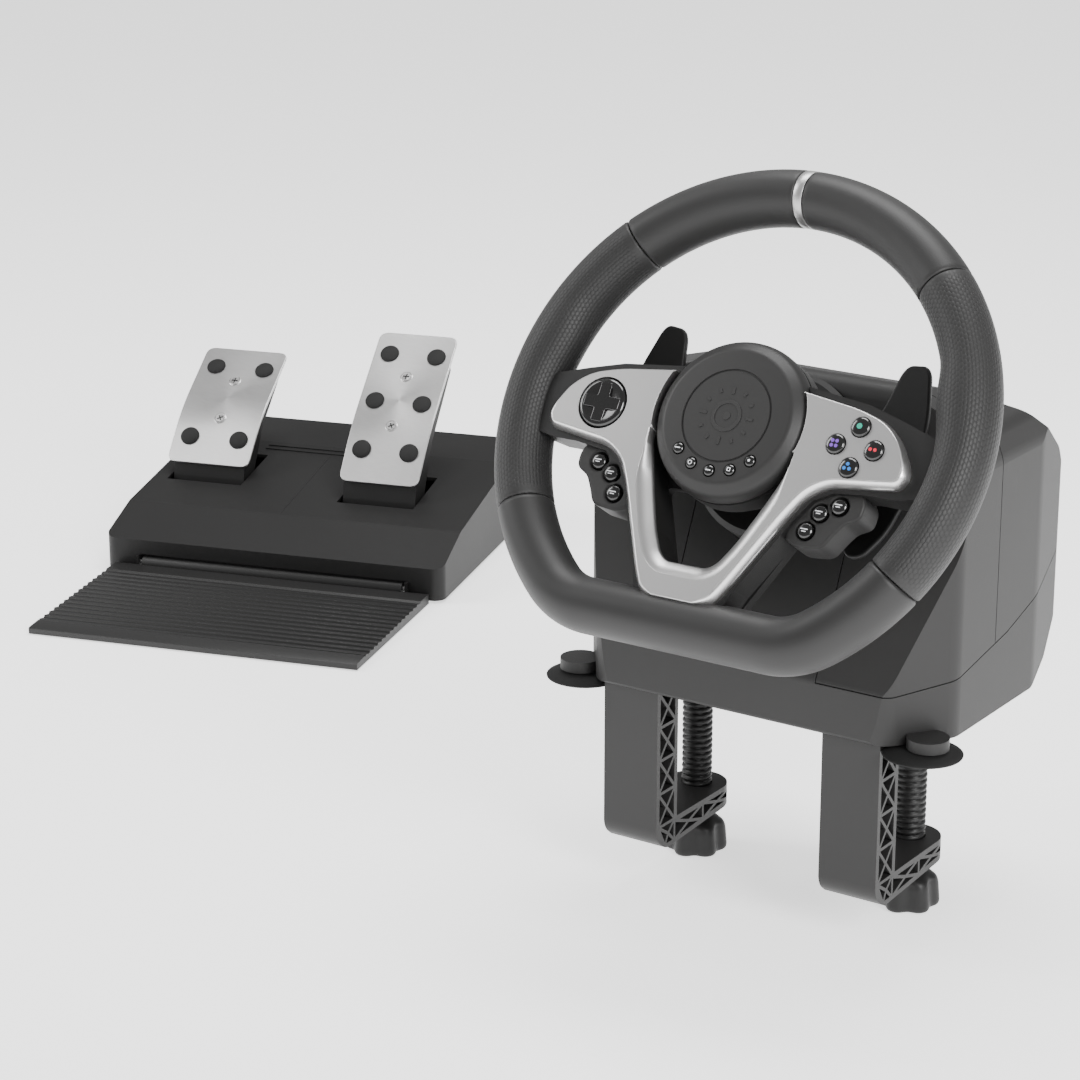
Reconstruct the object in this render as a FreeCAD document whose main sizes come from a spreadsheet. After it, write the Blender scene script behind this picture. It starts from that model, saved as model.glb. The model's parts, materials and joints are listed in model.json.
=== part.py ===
import FreeCAD, Part
import math
import os
import re
import Sketcher
from FreeCAD import Placement, Rotation, Vector

# Racing wheel set: a clamp-on wheel base with a D-shaped steering wheel, and a two-pedal floor unit.
# Row frame: +X to the driver's right, +Y away from the driver, +Z up, origin on the desk plane.
# Wheel frame: X as the row, Y up the rim's face, Z along the column towards the driver.

os.makedirs("parts", exist_ok=True)
doc = FreeCAD.newDocument("racing_wheel")
sheet = doc.addObject("Spreadsheet::Sheet", "Sizes")

SIZES = [
    ("tilt", 33.0, "lean of the rim's face from upright, degrees"),
    ("rim_y", -100.0, "rim centre, away from the driver"),
    ("rim_z", 160.0, "rim centre above the desk"),
    ("rim_radius", 125.4, "centreline radius of the round part of the rim"),
    ("tube_half_width", 14.6, "half the rim tube's width, across its face"),
    ("tube_half_depth", 17.4, "half the rim tube's depth"),
    ("flat_drop", 107.0, "rim centre down to the centreline of the flat"),
    ("corner_radius", 40.0, "centreline radius of the rim's two lower corners"),
    ("upper_seam", 45.0, "angle of the upper grip seams, degrees"),
    ("lower_seam", -30.0, "angle of the lower grip seams, degrees"),
    ("seam_gap", 0.5, "gap between two grip sections"),
    ("band_width", 5.0, "width of the centre band at the top"),
    ("core_half_width", 6.0, "half width of the ring core inside the rim"),
    ("core_back", -14.0, "back of the ring core"),
    ("core_front", 0.0, "front of the ring core"),
    ("arm_front", -8.0, "front of the skeleton's arms"),
    ("backing_front", 8.6, "front of the black spoke backing"),
    ("face_front", 15.0, "front of the silver spoke face"),
    ("hub_radius", 43.0, "largest radius of the hub"),
    ("hub_slope", 7.0, "how much smaller the hub is at its flat front"),
    ("hub_edge", 3.0, "where the hub cover meets the rear bowl"),
    ("hub_front", 17.0, "front of the hub cover"),
    ("hub_back", -25.0, "back of the rear bowl"),
    ("neck_radius", 26.0, "radius of the rear bowl's neck"),
    ("neck_back", -38.0, "back end of the neck"),
    ("badge_radius", 24.5, "radius of the ring engraved in the hub"),
    ("shell_wall", 2.5, "wall of the moulded shells"),
    ("fit", 0.35, "clearance round a moving moulding"),
    ("shaft_radius", 7.0, "radius of the steering shaft"),
    ("shaft_front", -4.0, "front end of the steering shaft"),
    ("shaft_back", -146.0, "back end of the steering shaft"),
    ("running_fit", 0.06, "radial clearance of a shaft in its bearing"),
    ("bearing_radius", 13.0, "outer radius of a column bearing"),
    ("bearing_width", 8.0, "width of a column bearing"),
    ("front_bearing", -72.0, "middle of the front bearing"),
    ("rear_bearing", -134.0, "middle of the rear bearing"),
    ("gear_module", 1.0, "module of the steering gear"),
    ("gear_teeth", 60.0, "teeth on the steering gear"),
    ("pinion_teeth", 20.0, "teeth on the sensor pinion"),
    ("gear_width", 7.0, "width of the steering gear"),
    ("gear_place", -112.0, "front face of the steering gear"),
    ("pad_x", 74.0, "direction pad and face buttons, out from the centre"),
    ("pad_v", -4.0, "direction pad and face buttons, up from the centre"),
    ("pad_radius", 13.4, "radius of the direction pad"),
    ("pad_axis", 11.5, "height of the direction pad's rocking axis"),
    ("trunnion_radius", 1.5, "radius of the direction pad's two trunnions"),
    ("diamond", 10.7, "face button centre from the middle of the four"),
    ("face_button_radius", 5.1, "radius of a face button"),
    ("pod_button_radius", 4.3, "radius of a button on the side pods"),
    ("pod_front", 5.5, "front of the side pods"),
    ("pod_depth", 19.0, "depth of the side pods"),
    ("hub_button_radius", 2.9, "radius of a hub button"),
    ("hub_button_ring", 29.6, "radius of the ring of hub buttons"),
    ("hub_button_step", 22.5, "angle from one hub button to the next"),
    ("button_travel", 1.2, "travel of a button"),
    ("button_stand", 1.6, "how far a button stands out"),
    ("paddle_front", -28.0, "front of the shift paddles"),
    ("paddle_thick", 4.0, "thickness of a shift paddle"),
    ("paddle_pivot", 36.0, "paddle pivot, out from the column"),
    ("pivot_radius", 2.2, "radius of the small pivot pins"),
    ("bezel_radius", 46.0, "radius of the collar on the base"),
    ("bezel_front", -41.0, "front of the collar"),
    ("bezel_back", -66.0, "back of the collar"),
    ("base_half_width", 111.0, "half width of the base"),
    ("base_front", -100.0, "front of the base"),
    ("base_back", 84.0, "back of the base"),
    ("base_top", 176.0, "top of the base"),
    ("apron_top", 31.0, "top of the upright apron"),
    ("underside", 4.0, "height of the base's floor above the desk"),
    ("shell_seam", -24.0, "seam between the front and rear shells"),
    ("shell_gap", 0.6, "gap at a shell seam"),
    ("panel_half_width", 46.0, "half width of the centre front panel"),
    ("cup_x", 106.0, "suction cup centres, to each side"),
    ("cup_y", -86.0, "front suction cup centres"),
    ("rear_cup_x", 60.0, "rear suction cup centres, to each side"),
    ("rear_cup_y", 0.0, "rear suction cup centres"),
    ("cup_radius", 21.0, "radius of a suction cup"),
    ("arm_x", 67.0, "clamp arm centres, to each side"),
    ("arm_width", 33.8, "width of a clamp arm"),
    ("arm_face", -95.7, "front face of a clamp arm"),
    ("arm_thick", 21.0, "thickness of the upright part of an arm"),
    ("arm_bottom", -90.0, "lowest point of a clamp arm"),
    ("arm_corner", 12.0, "rounding of an arm's lower front corner"),
    ("jaw_top", -74.2, "top of the clamp jaw"),
    ("screw_y", -26.3, "clamp screw axis"),
    ("screw_radius", 8.6, "outer radius of the clamp screw"),
    ("screw_pitch", 3.4, "pitch of the clamp screw"),
    ("screw_core", 7.4, "core radius of the clamp screw"),
    ("thread_fit", 0.1, "radial clearance of the screw in the jaw"),
    ("knob_radius", 17.6, "radius of the clamp knob"),
    ("knob_top", -93.5, "top of the clamp knob"),
    ("knob_bottom", -114.0, "bottom of the clamp knob"),
    ("web", 5.0, "web left between the recesses of an arm"),
    ("rib", 1.8, "width of an arm's ribs"),
    ("clamp_pad_top", -6.0, "top of the clamp pad when fully raised"),
    ("clamp_pad_radius", 15.0, "radius of the clamp pad"),
    ("pedal_x", -552.0, "front middle of the pedal unit"),
    ("pedal_y", 196.0, "front middle of the pedal unit"),
    ("pedal_z", -114.0, "floor under the pedal unit"),
    ("pedal_yaw", 16.6, "turn of the pedal unit, degrees"),
    ("pedal_width", 254.0, "width of the pedal housing"),
    ("pedal_depth", 207.0, "depth of the pedal housing"),
    ("pedal_front_height", 24.4, "height of the housing's front edge"),
    ("pedal_back_height", 60.9, "height of the housing's back edge"),
    ("foot_height", 1.5, "height of the rubber feet"),
    ("heel_depth", 142.0, "depth of the heel plate"),
    ("heel_front", 4.7, "heel plate thickness at its front"),
    ("heel_back", 7.3, "heel plate thickness at the hinge"),
    ("heel_hinge_y", 1.0, "heel plate hinge, behind the housing's front"),
    ("heel_tab_inset", 29.0, "the hinge tab's end, in from the housing's side"),
    ("plate_thick", 2.0, "thickness of a pedal plate"),
    ("pedal_pivot_z", 17.0, "height of the pedal pivots"),
    ("pedal_pin_radius", 4.0, "radius of a pedal pivot pin"),
    ("pedal_arm_width", 55.0, "width of a pedal arm"),
]

for row_number, (alias, value, note) in enumerate(SIZES, start=1):
    sheet.set("A%d" % row_number, note)
    sheet.set("B%d" % row_number, str(value))
    sheet.setAlias("B%d" % row_number, alias)
doc.recompute()

SUBPARTS = []
ALIASES = {alias for alias, _, _ in SIZES}


def size(alias):
    return float(sheet.get(alias))


rim_centre = Vector(0, size("rim_y"), size("rim_z"))
WHEEL = Placement(rim_centre, Rotation(Vector(1, 0, 0), 90 - size("tilt")))
BASE = Placement()
PEDALS = Placement(Vector(size("pedal_x"), size("pedal_y"), size("pedal_z")),
                   Rotation(Vector(0, 0, 1), size("pedal_yaw")))


def at(frame, x=0, y=0, z=0, turn=0):
    """A placement inside another frame, turned about that frame's Z."""
    return frame.multiply(Placement(Vector(x, y, z), Rotation(Vector(0, 0, 1), turn)))


# ---------------------------------------------------------------- sketched bodies

def bound(term):
    """An expression that names the sheet, from one that names only its aliases."""
    return re.sub("[a-z_]+", lambda word: ("Sizes." if word[0] in ALIASES else "") + word[0], term)


def number(term):
    """The value of a term: a plain number, or an expression on the sheet's aliases."""
    return float(sheet.evalExpression(bound(term)) if isinstance(term, str) else term)


def datum(sketch, kind, geometry, corner, term):
    """Holds one corner of a sketch at a distance from its origin."""
    value = number(term)
    if abs(value) < 1e-7 and not isinstance(term, str):
        lock = "PointOnObject"
        axis = -2 if kind == "DistanceX" else -1
        sketch.addConstraint(Sketcher.Constraint(lock, geometry, corner, axis))
        return
    index = sketch.addConstraint(Sketcher.Constraint(kind, -1, 1, geometry, corner, value))
    if isinstance(term, str):
        sketch.setExpression("Constraints[%d]" % index, bound(term))


def polygon(sketch, points):
    """A closed outline whose corners are held by the sheet."""
    start = sketch.GeometryCount
    corners = [Vector(number(x), number(y), 0) for x, y in points]
    for here, there in zip(corners, corners[1:] + corners[:1]):
        sketch.addGeometry(Part.LineSegment(here, there), False)
    count = len(corners)
    for index in range(count):
        following = start + (index + 1) % count
        sketch.addConstraint(Sketcher.Constraint("Coincident", start + index, 2, following, 1))
    for index, (x, y) in enumerate(points):
        datum(sketch, "DistanceX", start + index, 1, x)
        datum(sketch, "DistanceY", start + index, 1, y)


def circle(sketch, x, y, radius):
    """A full circle whose centre and radius are held by the sheet."""
    index = sketch.GeometryCount
    place = Vector(number(x), number(y), 0)
    reach = number(radius)
    sketch.addGeometry(Part.Circle(place, Vector(0, 0, 1), reach), False)
    held = sketch.addConstraint(Sketcher.Constraint("Radius", index, reach))
    if isinstance(radius, str):
        sketch.setExpression("Constraints[%d]" % held, bound(radius))
    datum(sketch, "DistanceX", index, 3, x)
    datum(sketch, "DistanceY", index, 3, y)


def new_body(label, frame):
    body = doc.addObject("PartDesign::Body", label)
    body.Label = label
    body.Placement = frame
    return body


def new_sketch(body, plane, height=0):
    sketch = body.newObject("Sketcher::SketchObject", body.Name + "_sketch")
    origin = [f for f in body.Origin.OriginFeatures if f.Role == plane][0]
    sketch.AttachmentSupport = [(origin, "")]
    sketch.MapMode = "FlatFace"
    if isinstance(height, str):
        sketch.setExpression("AttachmentOffset.Base.z", bound(height))
    else:
        sketch.AttachmentOffset = Placement(Vector(0, 0, height), Rotation())
    return sketch


def pad(body, sketch, length):
    feature = body.newObject("PartDesign::Pad", body.Name + "_pad")
    feature.Profile = sketch
    set_length(feature, length)


def set_length(feature, length):
    if isinstance(length, str):
        feature.setExpression("Length", bound(length))
    else:
        feature.Length = length


def cut(body, sketch, length):
    """A pocket that must take some of the body away."""
    doc.recompute()
    before = body.Shape.Volume
    feature = body.newObject("PartDesign::Pocket", body.Name + "_pocket")
    feature.Profile = sketch
    set_length(feature, length)
    doc.recompute()
    if body.Shape.Volume > before - 0.01:
        raise ValueError("a pocket in %s cuts nothing" % body.Label)


def keep(thing):
    """Counts an object as one of the sub-parts that are written out."""
    SUBPARTS.append(thing)
    return thing


def turned(label, points, frame):
    """A body turned about its own Z from a half outline of (radius, height)."""
    body = new_body(label, frame)
    sketch = new_sketch(body, "XZ_Plane")
    polygon(sketch, points)
    feature = body.newObject("PartDesign::Revolution", label + "_turn")
    feature.Profile = sketch
    feature.ReferenceAxis = (sketch, ["V_Axis"])
    feature.Angle = 360
    doc.recompute()
    return body


def side_plate(label, points, width, frame):
    """A body padded along X, half to each side, from a (y, z) outline."""
    body = new_body(label, frame)
    sketch = new_sketch(body, "YZ_Plane", "-0.5 * (%s)" % width)
    polygon(sketch, points)
    pad(body, sketch, width)
    doc.recompute()
    return body


def soften(body, radius, choose):
    """Fillets the edges of a body that a test picks."""
    doc.recompute()
    tip = body.Tip
    edges = ["Edge%d" % (i + 1) for i, edge in enumerate(tip.Shape.Edges) if choose(edge)]
    feature = body.newObject("PartDesign::Fillet", body.Name + "_edge")
    feature.Base = (tip, edges)
    feature.setExpression("Radius", bound(radius))
    doc.recompute()


def moulded(label, shape, frame):
    """A free-form sub-part, from a shape made in its own frame."""
    thing = doc.addObject("Part::Feature", label)
    thing.Label = label
    thing.Shape = shape
    thing.Placement = frame
    return keep(thing)


# ---------------------------------------------------------------- shapes

def rounded(points, radii):
    """A closed wire on the XY plane with its corners rounded."""
    edges = []
    joints = []
    count = len(points)
    for index in range(count):
        corner = Vector(*points[index], 0)
        before = (Vector(*points[index - 1], 0) - corner).normalize()
        after = (Vector(*points[(index + 1) % count], 0) - corner).normalize()
        radius = radii[index] if isinstance(radii, (list, tuple)) else radii
        if radius <= 0:
            joints.append((corner, None, corner))
            continue
        half = before.getAngle(after) / 2
        reach = radius / math.tan(half)
        middle = corner + (before + after).normalize() * (radius / math.sin(half) - radius)
        joints.append((corner + before * reach, middle, corner + after * reach))
    for index in range(count):
        start, middle, end = joints[index]
        if middle is not None:
            edges.append(Part.Arc(start, middle, end).toShape())
        following = joints[(index + 1) % count][0]
        if end.distanceToPoint(following) > 1e-6:
            edges.append(Part.LineSegment(end, following).toShape())
    return Part.Wire(edges)


def slab(wire, low, high):
    """The solid between two heights over a flat wire."""
    face = Part.Face(wire)
    face.translate(Vector(0, 0, low))
    return face.extrude(Vector(0, 0, high - low))


def sideways(shape):
    """Turns a slab drawn in (y, z) so that it runs along X."""
    moved = shape.copy()
    moved.Placement = Placement(Vector(), Rotation(Vector(1, 1, 1), 120)).multiply(moved.Placement)
    return moved


def upright(shape):
    """Turns a slab drawn in (x, z) so that it runs along -Y."""
    moved = shape.copy()
    moved.Placement = Placement(Vector(), Rotation(Vector(1, 0, 0), 90)).multiply(moved.Placement)
    return moved


def cylinder(radius, low, high, x=0, y=0):
    return Part.makeCylinder(radius, high - low, Vector(x, y, low))


def coil(radius, wire, pitch, turns):
    """A round-wire coil about Z, starting at height zero."""
    path = Part.makeHelix(pitch, pitch * turns, radius)
    ring = Part.Wire(Part.Circle(Vector(radius, 0, 0), Vector(0, 1, 0), wire).toShape())
    return Part.Wire(path.Edges).makePipeShell([ring], True, True)


# ---------------------------------------------------------------- rim

corner_v = size("corner_radius") - size("flat_drop")
corner_x = math.sqrt((size("rim_radius") - size("corner_radius")) ** 2 - corner_v ** 2)
corner_angle = math.degrees(math.atan2(corner_v, corner_x))


def rim_outline(offset):
    """The D-shaped line at a distance outside the rim's centreline."""
    big = size("rim_radius") + offset
    small = size("corner_radius") + offset
    low = -size("flat_drop") - offset
    angle = math.radians(corner_angle)
    top_end = Vector(big * math.cos(angle), big * math.sin(angle), 0)
    middle = math.radians((corner_angle - 90) / 2)
    corner_mid = Vector(corner_x + small * math.cos(middle), corner_v + small * math.sin(middle), 0)
    flat_end = Vector(corner_x, low, 0)
    mirror = lambda p: Vector(-p.x, p.y, 0)
    return Part.Wire([
        Part.Arc(mirror(top_end), Vector(0, big, 0), top_end).toShape(),
        Part.Arc(top_end, corner_mid, flat_end).toShape(),
        Part.LineSegment(flat_end, mirror(flat_end)).toShape(),
        Part.Arc(mirror(flat_end), mirror(corner_mid), mirror(top_end)).toShape(),
    ])


def tube_section(x, v, across, half_width, half_depth):
    """An upright ellipse across the rim at a point of its centreline."""
    ellipse = Part.Ellipse(Vector(), half_depth, half_width)
    wire = Part.Wire(ellipse.toShape())
    angle = math.degrees(math.atan2(across.y, across.x))
    spin = Rotation(Vector(0, 0, 1), angle).multiply(Rotation(Vector(1, 0, 0), 90))
    wire.Placement = Placement(Vector(x, v, 0), spin.multiply(Rotation(Vector(0, 0, 1), 90)))
    return Part.Face(wire)


def rim_tube(half_width, half_depth):
    """The whole rim as one tube: the round part, two corners and the flat."""
    angle = math.radians(corner_angle)
    out = Vector(math.cos(angle), math.sin(angle), 0)
    axis = Vector(0, 0, 1)
    start = out * size("rim_radius")
    section = tube_section(start.x, start.y, out, half_width, half_depth)
    pieces = [section.revolve(Vector(), axis, 180 - 2 * corner_angle)]
    pieces.append(section.revolve(Vector(corner_x, corner_v, 0), axis, -(90 + corner_angle)))
    left = section.mirror(Vector(), Vector(1, 0, 0))
    pieces.append(left.revolve(Vector(-corner_x, corner_v, 0), axis, 90 + corner_angle))
    flat = tube_section(corner_x, -size("flat_drop"), Vector(0, -1, 0), half_width, half_depth)
    pieces.append(flat.extrude(Vector(-2 * corner_x, 0, 0)))
    return pieces[0].fuse(pieces[1:]).removeSplitter()


def sector(low, high, reach=200, depth=60):
    """A wedge about the column between two angles, to cut a length of rim out."""
    wedge = Part.makeCylinder(reach, 2 * depth, Vector(0, 0, -depth), axis_up, high - low)
    wedge.rotate(Vector(), axis_up, low)
    return wedge


def mirrored(half):
    """A closed outline from its right half, listed from the top down."""
    return half + [(-x, y) for x, y in reversed(half)]


axis_up = Vector(0, 0, 1)
THROUGH = 60.0



def spread(points):
    """An outline drawn for a rim of unit radius, with the flat at unit drop, at the sheet's sizes."""
    across, drop = size("rim_radius"), size("flat_drop")
    return [(x * across, y * (across if y > 0 else drop)) for x, y in points]


# Outlines of the spoke, right half from the top down, as shares of the rim's radius and the flat's drop.
FACE_HALF = spread([(0.255, 0.171), (0.558, 0.132), (0.686, 0.096), (0.766, 0.032), (0.829, -0.075),
                    (0.841, -0.131), (0.813, -0.192), (0.686, -0.211), (0.518, -0.234), (0.439, -0.294),
                    (0.379, -0.411), (0.223, -0.785), (0.159, -0.92)])
BACKING_HALF = spread([(0.255, 0.199), (0.574, 0.163), (0.734, 0.12), (0.917, 0.064), (0.933, -0.206),
                       (0.797, -0.234), (0.686, -0.234), (0.534, -0.255), (0.455, -0.308), (0.395, -0.421),
                       (0.239, -0.794), (0.183, -0.963)])
WINDOW_HALF = spread([(0.339, -0.028), (0.327, -0.168), (0.263, -0.374), (0.187, -0.589), (0.136, -0.692),
                      (0.096, -0.729)])
ARM_HALF = spread([(0, 0.112), (0.478, 0.08), (0.941, 0.048), (0.941, -0.075), (0.494, -0.15), (0.415, -0.355),
                   (0.223, -0.86), (0.191, -1.009)])
ARM_WINDOW = spread([(0.287, -0.336), (0.152, -0.673), (0.096, -0.748)])

# Skeleton: a D-shaped ring core with a hub disc and three flat arms.
core_low = size("core_back")
ring_core = slab(rim_outline(size("core_half_width")), core_low, size("core_front"))
ring_core = ring_core.cut(slab(rim_outline(-size("core_half_width")), -THROUGH, THROUGH))
arms = slab(rounded(ARM_HALF + [(-x, y) for x, y in reversed(ARM_HALF[1:])], 2), core_low, size("arm_front"))
arms = arms.cut(slab(rounded(mirrored(ARM_WINDOW), 3), -THROUGH, THROUGH))
hub_disc = cylinder(34, core_low, size("arm_front"))
boss = cylinder(size("shaft_radius") + 6, core_low - 8, core_low)
skeleton = ring_core.fuse([arms, hub_disc, boss])
skeleton = skeleton.cut(cylinder(size("shaft_radius"), -THROUGH, THROUGH)).removeSplitter()
moulded("wheel_frame", skeleton, WHEEL)

# Spoke: a black backing and a silver face over it, both open round the hub and in the V.
hub_space = cylinder(size("hub_radius") + size("fit"), -THROUGH, THROUGH)
window = slab(rounded(mirrored(WINDOW_HALF), [0, 6, 6, 8, 5, 5, 5, 5, 8, 6, 6, 0]), -THROUGH, THROUGH)
pad_hole = size("pad_radius") + 2 * size("fit")
button_hole = size("face_button_radius") + size("fit")
button_floor = size("backing_front") - 5.4
pad_floor = size("backing_front") - 4
diamond = size("diamond")
FACE_BUTTONS = {"top": (0, diamond), "right": (diamond, 0), "bottom": (0, -diamond), "left": (-diamond, 0)}
control_holes = [cylinder(pad_hole, pad_floor, THROUGH, -size("pad_x"), size("pad_v"))]
for across, along in FACE_BUTTONS.values():
    control_holes.append(cylinder(button_hole, button_floor, THROUGH,
                                  size("pad_x") + across, size("pad_v") + along))

backing = slab(rounded(mirrored(BACKING_HALF), 3), size("arm_front"), size("backing_front"))
backing = backing.cut([hub_space, window, skeleton] + control_holes)
moulded("spoke_backing", backing.removeSplitter(), WHEEL)

face = slab(rounded(mirrored(FACE_HALF), 4), size("backing_front"), size("face_front"))
face = face.cut([hub_space, window] + control_holes)
trunnion_reach = pad_hole + 1.6
trunnion_bore = Part.makeCylinder(size("trunnion_radius") + size("running_fit"), 2 * trunnion_reach + 0.6,
                                  Vector(-size("pad_x"), size("pad_v") - trunnion_reach - 0.3, size("pad_axis")),
                                  Vector(0, 1, 0))
face = face.cut(trunnion_bore)
moulded("spoke_face", face, WHEEL)

# Grips: the rim tube, cut at its seams, hollow for the ring core and notched for the spoke.
tube = rim_tube(size("tube_half_width"), size("tube_half_depth"))
half_gap = math.degrees(size("seam_gap") / 2 / size("rim_radius"))
half_band = math.degrees(size("band_width") / 2 / size("rim_radius"))
upper = size("upper_seam")
lower = size("lower_seam")
thumb_length = 34.0
thumb_radius = 17.0
thumb_inset = 2.6
thumb_angle = 14.0
band_depth = 1.2


def thumb_rest(side):
    """The swelling on the rim above the spoke, where a thumb lies."""
    curve = Part.Ellipse(Vector(), thumb_length, thumb_radius)
    half_wire = Part.Wire([curve.toShape(0, math.pi), Part.makeLine((-thumb_length, 0, 0), (thumb_length, 0, 0))])
    bulge = Part.Face(half_wire).revolve(Vector(), Vector(1, 0, 0), 360)
    bulge.rotate(Vector(), axis_up, 90)
    bulge.translate(Vector(size("rim_radius") - thumb_inset, 0, 0))
    bulge.rotate(Vector(), axis_up, thumb_angle)
    return bulge if side > 0 else bulge.mirror(Vector(), Vector(1, 0, 0))


def grip(label, low, high, added=None, removed=()):
    length = tube if added is None else tube.fuse(added)
    piece = length.common(sector(low + half_gap, high - half_gap))
    piece = piece.cut([skeleton, backing, face] + list(removed))
    moulded(label, piece, WHEEL)


band = tube.common(sector(90 - half_band, 90 + half_band))
band = band.cut(rim_tube(size("tube_half_width") - band_depth, size("tube_half_depth") - band_depth))
grip("rim_top_grip", upper, 180 - upper, removed=[band])
grip("rim_right_grip", lower, upper, added=thumb_rest(1))
grip("rim_left_grip", 180 - upper, 180 - lower, added=thumb_rest(-1))
grip("rim_bottom_grip", 180 - lower, 360 + lower)
moulded("rim_top_band", band, WHEEL)

# ---------------------------------------------------------------- hub

hub = turned("hub_cover", [
    (0, "hub_front"), ("hub_radius", "hub_front"), ("hub_radius", "hub_edge"),
    ("hub_radius - shell_wall", "hub_edge"), ("hub_radius - shell_wall", "hub_edge + 3"),
    ("hub_radius - hub_slope - shell_wall - 1", "hub_front - shell_wall"), (0, "hub_front - shell_wall")], WHEEL)
soften(hub, "hub_slope + 1.5",
       lambda e: isinstance(e.Curve, Part.Circle) and e.BoundBox.ZMin > size("hub_front") - 0.1
       and e.Curve.Radius > size("hub_radius") - 1)
groove = new_sketch(hub, "XY_Plane", "hub_front")
circle(groove, 0, 0, "badge_radius + 0.5")
circle(groove, 0, 0, "badge_radius - 0.5")
cut(hub, groove, 0.7)
hole = new_sketch(hub, "XY_Plane", "hub_front")
circle(hole, 0, "-hub_button_ring", "hub_button_radius + fit")
cut(hub, hole, 8.0)
for index in (-2, -1, 1, 2):
    hole = new_sketch(hub, "XY_Plane", "hub_front")
    turn = "hub_button_step * %d" % index
    circle(hole, "hub_button_ring * sin((%s) * 1deg)" % turn,
           "-hub_button_ring * cos((%s) * 1deg)" % turn, "hub_button_radius + fit")
    cut(hub, hole, 8.0)
keep(hub)

bowl_radius = size("hub_radius") - size("hub_slope")
bowl = Part.Wire(Part.makePolygon([Vector(r, 0, z) for r, z in [
    (size("hub_radius"), size("hub_edge")), (size("hub_radius"), size("arm_front")),
    (bowl_radius, size("hub_back")), (size("neck_radius"), size("hub_back")),
    (size("neck_radius"), size("neck_back")), (size("shaft_radius") + size("fit"), size("neck_back")),
    (size("shaft_radius") + size("fit"), size("neck_back") + size("shell_wall")),
    (size("neck_radius") - size("shell_wall"), size("neck_back") + size("shell_wall")),
    (size("neck_radius") - size("shell_wall"), size("hub_back") + size("shell_wall")),
    (bowl_radius - size("shell_wall"), size("hub_back") + size("shell_wall")),
    (size("hub_radius") - size("shell_wall"), size("arm_front")),
    (size("hub_radius") - size("shell_wall"), size("hub_edge")),
    (size("hub_radius"), size("hub_edge"))]]))
bowl = Part.Face(bowl).revolve(Vector(), axis_up, 360).cut([skeleton, backing])
pivot_x = size("paddle_pivot")
paddle_mid = size("paddle_front") - size("paddle_thick") / 2
lug_reach = size("pivot_radius") + 3
for side in (-1, 1):
    for end in (-1, 1):
        lug = Part.makeBox(pivot_x + lug_reach - 20, 5, size("hub_back") - paddle_mid + lug_reach)
        lug.translate(Vector(20, 11 if end > 0 else -16, paddle_mid - lug_reach))
        lug = lug if side > 0 else lug.mirror(Vector(), Vector(1, 0, 0))
        bowl = bowl.fuse(lug)
    pin_hole = Part.makeCylinder(size("pivot_radius"), 40, Vector(side * pivot_x, -20, paddle_mid), Vector(0, 1, 0))
    bowl = bowl.cut(pin_hole)
bowl = bowl.cut(cylinder(size("neck_radius") - size("shell_wall"), size("neck_back") + size("shell_wall"),
                         size("hub_back") + size("shell_wall")))
bowl = bowl.cut(cylinder(size("shaft_radius") + size("fit"), -THROUGH, 0))
moulded("hub_rear_shell", bowl.removeSplitter(), WHEEL)

# Side pods: lobed housings under the spokes' ends, each with three buttons.
POD = spread([(0.367, -0.439), (0.455, -0.234), (0.614, -0.187), (0.67, -0.262), (0.666, -0.346), (0.606, -0.383),
              (0.574, -0.439), (0.538, -0.519), (0.423, -0.533), (0.367, -0.505)])
POD_RADII = [1, 1, 4, 4, 3, 2, 3, 4, 3, 2]
POD_BUTTONS = spread([(0.564, -0.305), (0.489, -0.352), (0.45, -0.448)])
pod_floor = size("pod_front") - 7.5
for name, side in (("left", -1), ("right", 1)):
    pod = slab(rounded(POD, POD_RADII), size("pod_front") - size("pod_depth"), size("pod_front"))
    holes = [cylinder(size("pod_button_radius") + size("fit"), pod_floor, THROUGH, x, v) for x, v in POD_BUTTONS]
    pod = pod.cut([backing, face, skeleton] + holes)
    pod = pod if side > 0 else pod.mirror(Vector(), Vector(1, 0, 0))
    moulded(name + "_button_pod", pod.removeSplitter(), WHEEL)
    for count, (x, v) in enumerate(POD_BUTTONS, start=1):
        key = turned("%s_pod_button_%d" % (name, count), [
            (0, "pod_front - 7.5 + button_travel"), ("pod_button_radius", "pod_front - 7.5 + button_travel"),
            ("pod_button_radius", "pod_front + button_stand - 0.6"),
            ("pod_button_radius - 0.9", "pod_front + button_stand"), (0, "pod_front + button_stand + 0.3")],
            at(WHEEL, side * x, v))
        keep(key)

for name, (across, along) in FACE_BUTTONS.items():
    key = turned("face_button_" + name, [
        (0, "backing_front - 5.4 + button_travel"), ("face_button_radius", "backing_front - 5.4 + button_travel"),
        ("face_button_radius", "face_front + button_stand - 0.8"),
        ("face_button_radius - 1", "face_front + button_stand"), (0, "face_front + button_stand + 0.4")],
        at(WHEEL, size("pad_x") + across, size("pad_v") + along))
    keep(key)

disc = turned("direction_pad_disc", [
    (0, "backing_front - 2.6"), ("pad_radius - 4.5", "backing_front - 2.6"), ("pad_radius - 0.4", "face_front - 3.5"),
    ("pad_radius", "face_front - 2"), ("pad_radius", "face_front - 0.4"), ("pad_radius - 1.6", "face_front + 1.4"),
    (0, "face_front + 0.2")], BASE)
trunnions = doc.addObject("Part::Cylinder", "pad_trunnions")
trunnions.setExpression("Radius", bound("trunnion_radius"))
trunnions.Height = 2 * trunnion_reach
trunnions.Placement = Placement(Vector(0, -trunnion_reach, size("pad_axis")), Rotation(Vector(1, 0, 0), -90))
direction_pad = doc.addObject("Part::Fuse", "direction_pad")
direction_pad.Label = "direction_pad"
direction_pad.Base = disc
direction_pad.Tool = trunnions
direction_pad.Placement = at(WHEEL, -size("pad_x"), size("pad_v"))
keep(direction_pad)

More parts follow.
